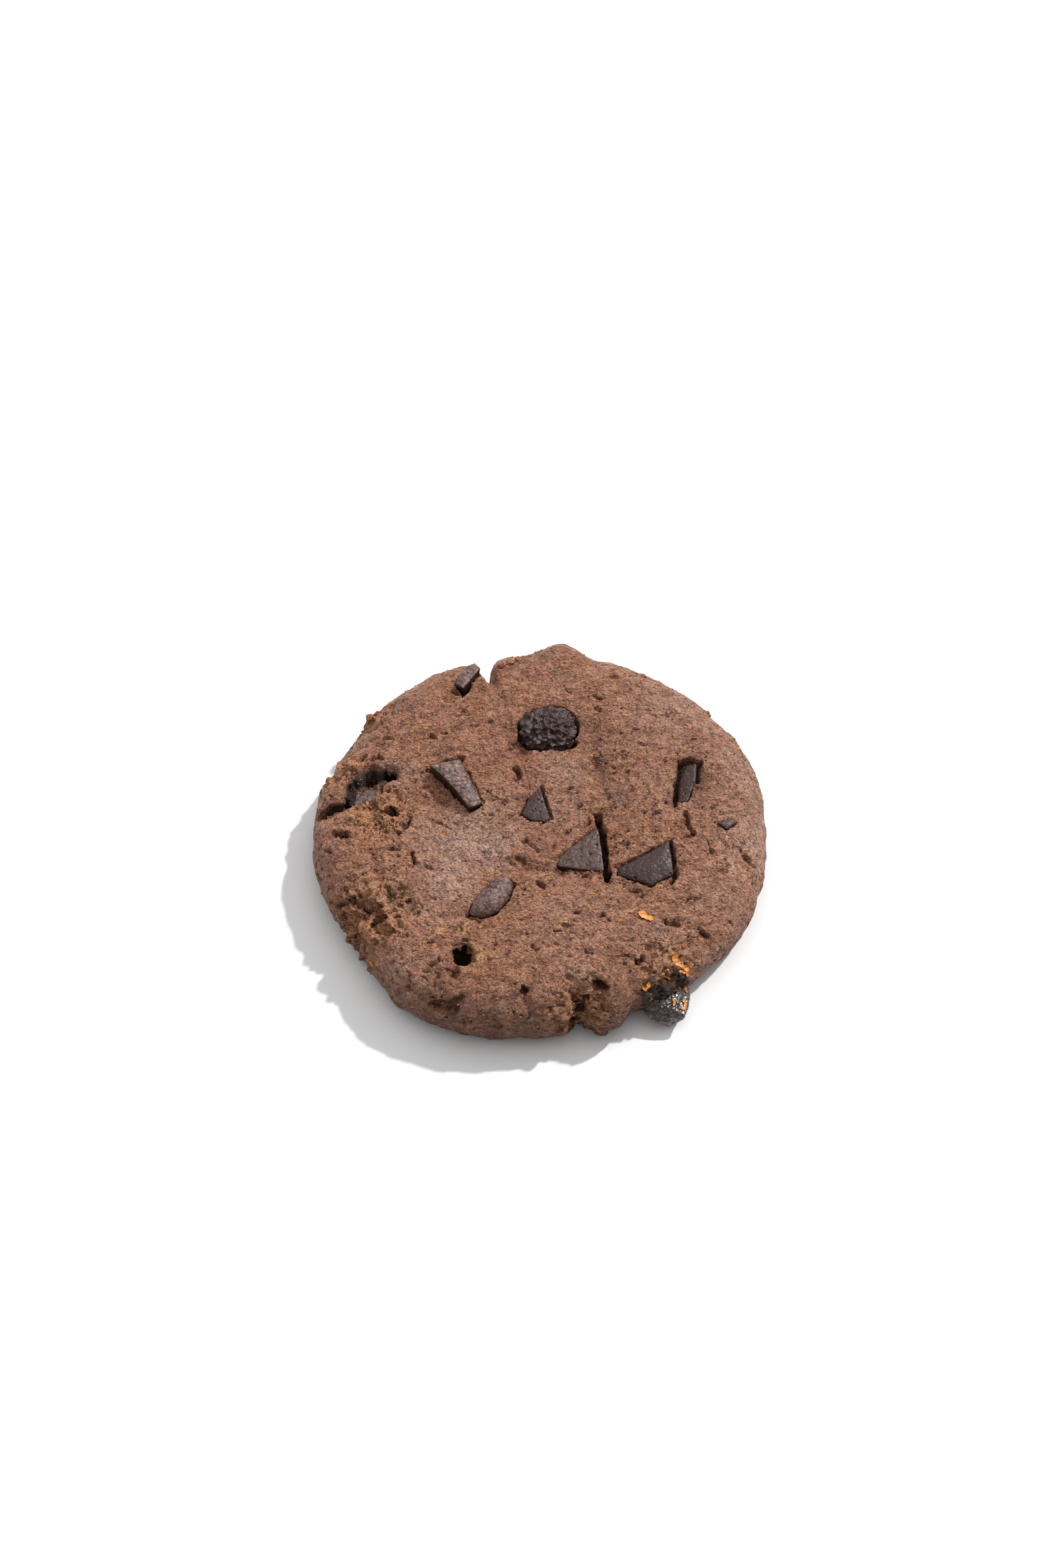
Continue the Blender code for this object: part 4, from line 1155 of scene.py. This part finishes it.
class COOKIE_OT_chunks(bpy.types.Operator):
    """Set the broken chocolate chunks in their beds, wrinkled, bloomed and with a painted sheen on their tops
    """
    bl_idname = "cookie.chunks"
    bl_label = "Chocolate chunks"

    def execute(self, context):
        settings = context.scene.cookie_chocolate
        material = bloom_and_sheen_chocolate(settings)
        for number, (name, spec) in enumerate(CHUNKS.items()):
            item = self.block(name, spec, settings)
            self.wrinkle(item, spec, settings, number)
            finish_piece(item, material, "dark_chocolate", name)
        return {"FINISHED"}

    def block(self, name, spec, settings):
        """The chunk's block with its worn edges on an even fine mesh, standing where its solid stands"""
        outline = spec["outline"]
        mid_x, mid_y = (sum(values) / len(outline) for values in zip(*outline))
        rises = [spec["slope"][0] * (x - mid_x) + spec["slope"][1] * (y - mid_y) for x, y in outline]
        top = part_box(name)[0].z / MM + spec["depth"] - min(rises)
        shape = bmesh.new()
        lid = shape.faces.new([
            shape.verts.new((*corner, top + rise)) for corner, rise in zip(outline, rises)
        ])
        lower = bmesh.ops.extrude_face_region(shape, geom=[lid], use_keep_orig=True)
        for vert in (part for part in lower["geom"] if isinstance(part, bmesh.types.BMVert)):
            vert.co.x = mid_x + (vert.co.x - mid_x) * spec["taper"]
            vert.co.y = mid_y + (vert.co.y - mid_y) * spec["taper"]
            vert.co.z -= spec["depth"]
        bmesh.ops.recalc_face_normals(shape, faces=shape.faces)
        bmesh.ops.bevel(shape, geom=shape.edges[:], offset=spec["bevel"], offset_type="OFFSET", segments=3,
                        profile=0.6, affect="EDGES", clamp_overlap=True)
        item = shape_object("bloomed_" + name, shape)
        set_positions(item.data, placed(vertex_array(item.data)))
        fine = item.modifiers.new("fine", "REMESH")
        fine.mode = "VOXEL"
        fine.voxel_size = settings.voxel_mm * MM
        bake_modifiers(item)
        return item

    def wrinkle(self, item, spec, settings, number):
        """Dome the top, and give it wrinkles and pinholes"""
        points = vertex_array(item.data) / MM - np.array(CENTRING)
        normals = vertex_array(item.data, "normal")
        low = points[:, 2].min()
        share = np.clip((points[:, 2] - low) / spec["depth"], 0.0, 1.0)
        inner = -inside_distance(points[:, 0], points[:, 1], spec["outline"])
        dome = 1.0 - (1.0 - np.clip(inner / inner.max(), 0.0, 1.0)) ** 2
        facing = np.clip((normals[:, 2] - 0.35) / 0.4, 0.0, 1.0)
        points[:, 2] += spec["crown"] * dome * share
        creases = ridges(points, settings.crinkle_mm)
        move = SWELL_HEIGHT * fractal(points, SWELL_GRAIN, SLOW_OCTAVES) - spec["crinkle"] * creases * facing
        move += GRIT_HEIGHT * fractal(points, GRIT_GRAIN, GRAIN_OCTAVES)
        draw = np.random.default_rng(PINHOLE_SEED + number)
        uppers = np.flatnonzero(facing > 0.8)
        for index in draw.choice(uppers, spec["holes"]):
            gap = np.linalg.norm(points - points[index], axis=1)
            radius = PINHOLE_RADIUS + PINHOLE_SPREAD * draw.random()
            move -= PINHOLE_DEPTH * np.exp(-(gap / radius) ** 4)
        points += normals * move[:, None]
        set_positions(item.data, placed(points))
        # Bloom and painted sheen on the upward faces, less in the wrinkles
        set_attribute(item.data, "bloom_and_sheen", spec["bloom_and_sheen"] * facing * (1.0 - 0.6 * creases))
        item.data.shade_smooth()


class COOKIE_OT_lumps(bpy.types.Operator):
    """Set the crumbly lump in the top and the melted, glossy one at the rim"""
    bl_idname = "cookie.lumps"
    bl_label = "Rough lumps"

    def execute(self, context):
        settings = context.scene.cookie_chocolate
        finishes = {
            "chunk_crumbly": (crumbly_chocolate(settings), "dark_chocolate"),
            "chunk_rim": (melted_chocolate(settings), "melted_chocolate"),
        }
        for name, spec in LUMPS.items():
            out, faces = even_sphere(LUMP_LEVEL)
            if "facets" in spec:
                facets = np.array(spec["facets"])
                reach = np.clip(out @ facets[:, :3].T, 0.0, None) / facets[:, 3]
                power = FACET_POWER
            else:
                reach = np.abs(out)
                power = spec["boxy"]
            size = np.sum(reach ** power, axis=1) ** (-1.0 / power)
            body = out * np.array(spec["half"]) * size[:, None]
            centre = np.array(spec["centre"])
            fold = np.abs(fractal(body / spec["grain"] + centre, 1.0, WRINKLE_OCTAVES))
            fine = np.abs(fractal(body + centre, spec["fine_grain"], RIFT_OCTAVES))
            large, small = (cells(body, grain)[0] for grain in COBBLE_GRAINS)
            rough = spec["cobbles"] * (large + 0.45 * small - 0.6)
            body = body - out * (spec["wrinkle"] * fold + spec["fine"] * (fine - 0.3) + rough)[:, None]
            turn = np.array(Matrix.Rotation(math.radians(spec["turn"]), 3, "Z"))
            item = mesh_object("rough_" + name, placed(body @ turn.T + centre), faces)
            finish_piece(item, *finishes[name], name)
        return {"FINISHED"}


class COOKIE_OT_zest(bpy.types.Operator):
    """Lay shreds of orange zest on the dough"""
    bl_idname = "cookie.zest"
    bl_label = "Orange zest"

    def execute(self, context):
        surfaces = [surface_of(bpy.data.objects[name]) for name in ("dough_body", "rough_chunk_rim")]
        shape = bmesh.new()
        for number, (path, width) in enumerate(ZEST):
            self.shred(shape, self.spine(path, surfaces), width, number)
        bmesh.ops.recalc_face_normals(shape, faces=shape.faces)
        item = shape_object("zest_shreds", shape)
        item.data.shade_smooth()
        item.data.set_sharp_from_angle(angle=math.radians(40.0))
        settings = context.scene.cookie_topping
        # Dried orange peel: waxy and a little see-through, with darker dots where its oil was
        zest = spotted_food("dried_zest", settings.zest, "#b8691f", 0.5, 0.45, 0.2)
        finish_piece(item, zest, None)
        return {"FINISHED"}

    def spine(self, path, surfaces):
        """Close points along a shred's path, at the smoothed height of the food under them"""
        places = np.linspace(0.0, len(path) - 1.0, SHRED_STEPS * (len(path) - 1) + 1)
        x, y = (np.interp(places, range(len(path)), values) for values in zip(*path))
        heights = [skin_height(surfaces, *spot) for spot in zip(x, y)]
        near = [heights[max(0, k - SHRED_SMOOTHING):k + SHRED_SMOOTHING + 1] for k in range(len(places))]
        return [Vector((*spot, sum(part) / len(part))) for *spot, part in zip(x, y, near)]

    def shred(self, shape, points, width, number):
        """One thin shred with ragged edges, lying along its spine"""
        steps = len(points) - 1
        rows = []
        for step, point in enumerate(points):
            ahead = points[min(step + 1, steps)] - points[max(step - 1, 0)]
            side = Vector((-ahead.y, ahead.x, 0.0)).normalized()
            taper = min(1.0, 4.0 * min(step, steps - step) / steps + 0.25)
            half = width * taper * (0.5 + 0.3 * noise.noise(point * 1.7 + Vector((0, 0, number))))
            lift = SHRED_LIFT + 0.15 * noise.noise(point * 0.9 + Vector((number, 0, 0)))
            row = []
            for across in SHRED_RIBS:
                notch = 1.0 + 0.3 * noise.noise(point * 1.9 + Vector((across, 0, 0)))
                curl = SHRED_CURL * across * across
                row.append(point + side * (half * across * notch) + Vector((0, 0, lift + curl)))
            rows.append(row)
        tops = [[shape.verts.new(placed(spot)) for spot in row] for row in rows]
        unders = [[shape.verts.new(placed(spot - Vector((0, 0, SHRED_THICKNESS)))) for spot in row]
                  for row in rows]
        for k in range(steps):
            for c in range(3):
                shape.faces.new((tops[k][c], tops[k][c + 1], tops[k + 1][c + 1], tops[k + 1][c]))
                shape.faces.new((unders[k][c], unders[k + 1][c], unders[k + 1][c + 1], unders[k][c + 1]))
            for c in (0, 3):
                shape.faces.new((tops[k][c], tops[k + 1][c], unders[k + 1][c], unders[k][c]))
        for k in (0, steps):
            for c in range(3):
                shape.faces.new((tops[k][c], tops[k][c + 1], unders[k][c + 1], unders[k][c]))


def strewing_tree(name):
    """Geometry Nodes that strew small lumps over the open, upward skin and make each one different"""
    tree = bpy.data.node_groups.new(name, "GeometryNodeTree")
    tree.interface.new_socket(name="Geometry", in_out="OUTPUT", socket_type="NodeSocketGeometry")
    for kind, labels in (
        ("Geometry", ("Skin",)),
        ("Float", ("Density", "Smallest", "Largest", "Flatness", "Tilt", "Raggedness")),
        ("Int", ("Seed", "Rounding")),
        ("Material", ("Material",)),
    ):
        for label in labels:
            tree.interface.new_socket(name=label, in_out="INPUT", socket_type="NodeSocket" + kind)
    given = node(tree, "NodeGroupInput").outputs
    normal = node(tree, "GeometryNodeInputNormal").outputs[0]
    upward = node(tree, "ShaderNodeSeparateXYZ", {"Vector": normal}).outputs["Z"]
    hollow = node(tree, "GeometryNodeInputNamedAttribute", {"Name": "hollow"}, data_type="FLOAT").outputs[0]
    facing = node(tree, "FunctionNodeCompare", {0: upward, 1: FLATTEST_SIDE},
                  operation="GREATER_THAN").outputs[0]
    filled = node(tree, "FunctionNodeCompare", {0: hollow, 1: OPEN_HOLLOW}, operation="LESS_THAN").outputs[0]
    both = node(tree, "FunctionNodeBooleanMath", {0: facing, 1: filled}, operation="AND").outputs[0]
    points = node(tree, "GeometryNodeDistributePointsOnFaces", {
        "Mesh": given["Skin"], "Selection": both, "Density": given["Density"], "Seed": given["Seed"],
    }).outputs
    low, high = first_outputs(tree, "ShaderNodeVectorMath", (0, "Scale"), (
        ((-1.0, -1.0, -3.14), given["Tilt"]),
        ((1.0, 1.0, 3.14), given["Tilt"]),
    ), operation="SCALE")
    turn = node(tree, "FunctionNodeRandomValue", {0: low, 1: high, "Seed": given["Seed"]},
                data_type="FLOAT_VECTOR").outputs[0]
    euler = node(tree, "FunctionNodeEulerToRotation", {0: turn}).outputs[0]
    turned = node(tree, "FunctionNodeRotateRotation", {0: points["Rotation"], 1: euler},
                  rotation_space="LOCAL")
    length = node(tree, "FunctionNodeRandomValue", {
        2: given["Smallest"], 3: given["Largest"], "Seed": given["Seed"],
    }, data_type="FLOAT").outputs[1]
    width, thickness = first_outputs(tree, "ShaderNodeMath", (0, 1), (
        (length, BIT_WIDTH),
        (length, given["Flatness"]),
    ), operation="MULTIPLY")
    scale = node(tree, "ShaderNodeCombineXYZ", {0: length, 1: width, 2: thickness}).outputs[0]
    lump = node(tree, "GeometryNodeMeshIcoSphere", {"Radius": 1.0, "Subdivisions": given["Rounding"]})
    strewn = node(tree, "GeometryNodeInstanceOnPoints", {
        "Points": points["Points"], "Instance": lump.outputs["Mesh"], "Rotation": turned.outputs[0],
        "Scale": scale,
    })
    real = node(tree, "GeometryNodeRealizeInstances", {0: strewn.outputs[0]}).outputs[0]
    wobble = node(tree, "ShaderNodeTexNoise", {"Scale": scale_of(BIT_GRAIN), "Detail": 2.0}).outputs["Color"]
    centred = node(tree, "ShaderNodeVectorMath", {0: wobble, 1: (0.5, 0.5, 0.5)}, operation="SUBTRACT")
    ragged = node(tree, "ShaderNodeVectorMath", {0: centred.outputs[0], "Scale": given["Raggedness"]},
                  operation="SCALE")
    moved = node(tree, "GeometryNodeSetPosition", {"Geometry": real, "Offset": ragged.outputs[0]}).outputs[0]
    done = node(tree, "GeometryNodeSetMaterial", {"Geometry": moved, "Material": given["Material"]})
    node(tree, "NodeGroupOutput", {0: done.outputs[0]})
    return tree


def strew(name, material, slot, per_square_cm, seed):
    """Strew one kind of small piece over the dough, as a plain mesh"""
    item = add_object(name, bpy.data.objects["dough_body"].data.copy())
    tree = strewing_tree(name)
    modifier = item.modifiers.new("strewn", "NODES")
    modifier.node_group = tree
    smallest, largest, raggedness, flatness, tilt, rounding = STREWN[name]
    chosen = {
        "Density": per_square_cm * PER_SQUARE_CM, "Smallest": smallest * MM, "Largest": largest * MM,
        "Raggedness": raggedness * MM, "Flatness": flatness, "Tilt": tilt, "Rounding": rounding,
        "Seed": seed, "Material": material,
    }
    for socket in tree.interface.items_tree:
        if socket.in_out == "INPUT" and socket.name in chosen:
            modifier[socket.identifier] = chosen[socket.name]
    bake_modifiers(item)
    item.data.shade_smooth()
    finish_piece(item, material, slot)


def stuck_bits(name, table, raggedness):
    """Small rough bits, each set into the dough at its nearest place"""
    surface = surface_of(bpy.data.objects["dough_body"])
    shape = bmesh.new()
    for number, (place, length, width, thickness, turn) in enumerate(table):
        spot, normal = surface.find_nearest(Vector(placed(place)))[:2]
        lie = normal.to_track_quat("Z", "X").to_matrix() @ Matrix.Rotation(math.radians(turn), 3, "Z")
        made = bmesh.ops.create_icosphere(shape, subdivisions=BIT_LEVEL, radius=1.0)
        for vert in made["verts"]:
            rough = 1.0 + raggedness * noise.fractal(vert.co * 1.6 + Vector((number, 0, 0)), *CRAG_OCTAVES)
            vert.co = spot + lie @ (vert.co * rough * Vector((length, width, thickness))) * MM
    item = shape_object(name, shape)
    item.data.shade_smooth()
    return item


class COOKIE_OT_crumbs(bpy.types.Operator):
    """Set the seeds and rim crumbs, and strew crumbs, bran and sugar crystals over the top"""
    bl_idname = "cookie.crumbs"
    bl_label = "Crumbs and crystals"

    def execute(self, context):
        settings = context.scene.cookie_topping
        dough = context.scene.cookie_dough
        # Baked crumb: the dough's own browns, dry and dull
        crumb = spotted_food("baked_crumb", dough.brown, dough.dark, 0.2, 0.75)
        # Bran husk: dry straw-brown fibre with a faint satin shine
        husk = spotted_food("bran_husk", "#b98350", "#8e5a34", 0.3, 0.55)
        # Sugar: hard clear crystals, so nearly white, glossy and with light in them
        sugar = spotted_food("sugar_crystal", "#f3ece4", "#ffffff", 0.2, 0.12, 0.3)
        strew("loose_crumbs", crumb, "baked_dough", settings.crumbs, settings.seed)
        finish_piece(stuck_bits("rim_crumbs", RIM_CRUMBS, 0.5), crumb, "baked_dough")
        finish_piece(stuck_bits("seeds", SEEDS, 0.15), husk, None)
        strew("bran_flecks", husk, None, settings.bran, settings.seed + 1)
        strew("sugar_crystals", sugar, None, settings.crystals, settings.seed + 2)
        return {"FINISHED"}


class COOKIE_OT_stage(bpy.types.Operator):
    """Set the floor, the lights and the camera"""
    bl_idname = "cookie.stage"
    bl_label = "Studio"

    def execute(self, context):
        settings = context.scene.cookie_stage
        scene = context.scene
        corners = [(x * FLOOR_REACH, y * FLOOR_REACH, 0.0) for x, y in ((-1, -1), (1, -1), (1, 1), (-1, 1))]
        floor = mesh_object("floor", corners, [(0, 1, 2, 3)])
        floor.data.materials.append(self.matt_board(settings))
        scene.world = self.white_surround(settings)
        lamp = bpy.data.lights.new("key", "SUN")
        lamp.energy = settings.key
        lamp.angle = settings.key_angle
        add_object("key", lamp).rotation_euler = Vector(KEY_DIRECTION).to_track_quat("Z", "Y").to_euler()
        lens = bpy.data.cameras.new("camera")
        lens.lens = settings.lens
        lens.sensor_width = SENSOR_WIDTH
        lens.clip_start = 0.01
        camera = add_object("camera", lens)
        camera.location = Vector(CAMERA_PLACE) * MM
        camera.rotation_euler = (math.radians(CAMERA_TILT), 0.0, 0.0)
        scene.camera = camera
        scene.view_settings.view_transform = "Standard"
        return {"FINISHED"}

    def matt_board(self, settings):
        """Matt white board: pale, even and without a shine"""
        material, tree, shader = new_material("matt_board")
        feed(tree, shader, {"Base Color": linear(settings.floor), "Roughness": 0.9,
                            "Specular IOR Level": 0.1})
        return material

    def white_surround(self, settings):
        """A white surround, darker in front and brighter overhead"""
        world = bpy.data.worlds.new("white_surround")
        world.use_nodes = True
        tree = world.node_tree
        place = node(tree, "ShaderNodeTexCoord").outputs["Generated"]
        away = node(tree, "ShaderNodeSeparateXYZ", {"Vector": place}).outputs
        above, shade = first_outputs(tree, "ShaderNodeMapRange", RANGE, (
            (away["Z"], 0.0, 1.0, 1.0 - settings.overhead, 1.0 + 0.5 * settings.overhead),
            (away["Y"], -1.0, 1.0, settings.front, 2.0 - settings.front),
        ))
        both = node(tree, "ShaderNodeMath", {0: shade, 1: above}, operation="MULTIPLY").outputs[0]
        strength = node(tree, "ShaderNodeMath", {0: both, 1: settings.fill}, operation="MULTIPLY").outputs[0]
        feed(tree, tree.nodes["Background"], {"Color": (1.0, 1.0, 1.0, 1.0), "Strength": strength})
        return world


class COOKIE_PT_panel(bpy.types.Panel):
    """The cookie's makers, in the order they are used"""
    bl_idname = "COOKIE_PT_panel"
    bl_label = "Cookie"
    bl_space_type = "VIEW_3D"
    bl_region_type = "UI"
    bl_category = "Cookie"

    def draw(self, context):
        for maker in MAKERS:
            self.layout.operator(maker.bl_idname)


MAKERS = (
    COOKIE_OT_dough,
    COOKIE_OT_chunks,
    COOKIE_OT_lumps,
    COOKIE_OT_zest,
    COOKIE_OT_crumbs,
    COOKIE_OT_stage,
)
GROUPS = {
    "cookie_dough": DoughSettings,
    "cookie_chocolate": ChocolateSettings,
    "cookie_topping": ToppingSettings,
    "cookie_stage": StageSettings,
}


def register():
    for name, group in GROUPS.items():
        bpy.utils.register_class(group)
        setattr(bpy.types.Scene, name, bpy.props.PointerProperty(type=group))
    for part in (*MAKERS, COOKIE_PT_panel):
        bpy.utils.register_class(part)


def unregister():
    for part in (COOKIE_PT_panel, *reversed(MAKERS)):
        bpy.utils.unregister_class(part)
    for name, group in reversed(GROUPS.items()):
        delattr(bpy.types.Scene, name)
        bpy.utils.unregister_class(group)


def main():
    register()
    bpy.ops.cookie.dough()
    bpy.ops.cookie.chunks()
    bpy.ops.cookie.lumps()
    bpy.ops.cookie.zest()
    bpy.ops.cookie.crumbs()
    bpy.ops.cookie.stage()


if __name__ == "__main__":
    main()
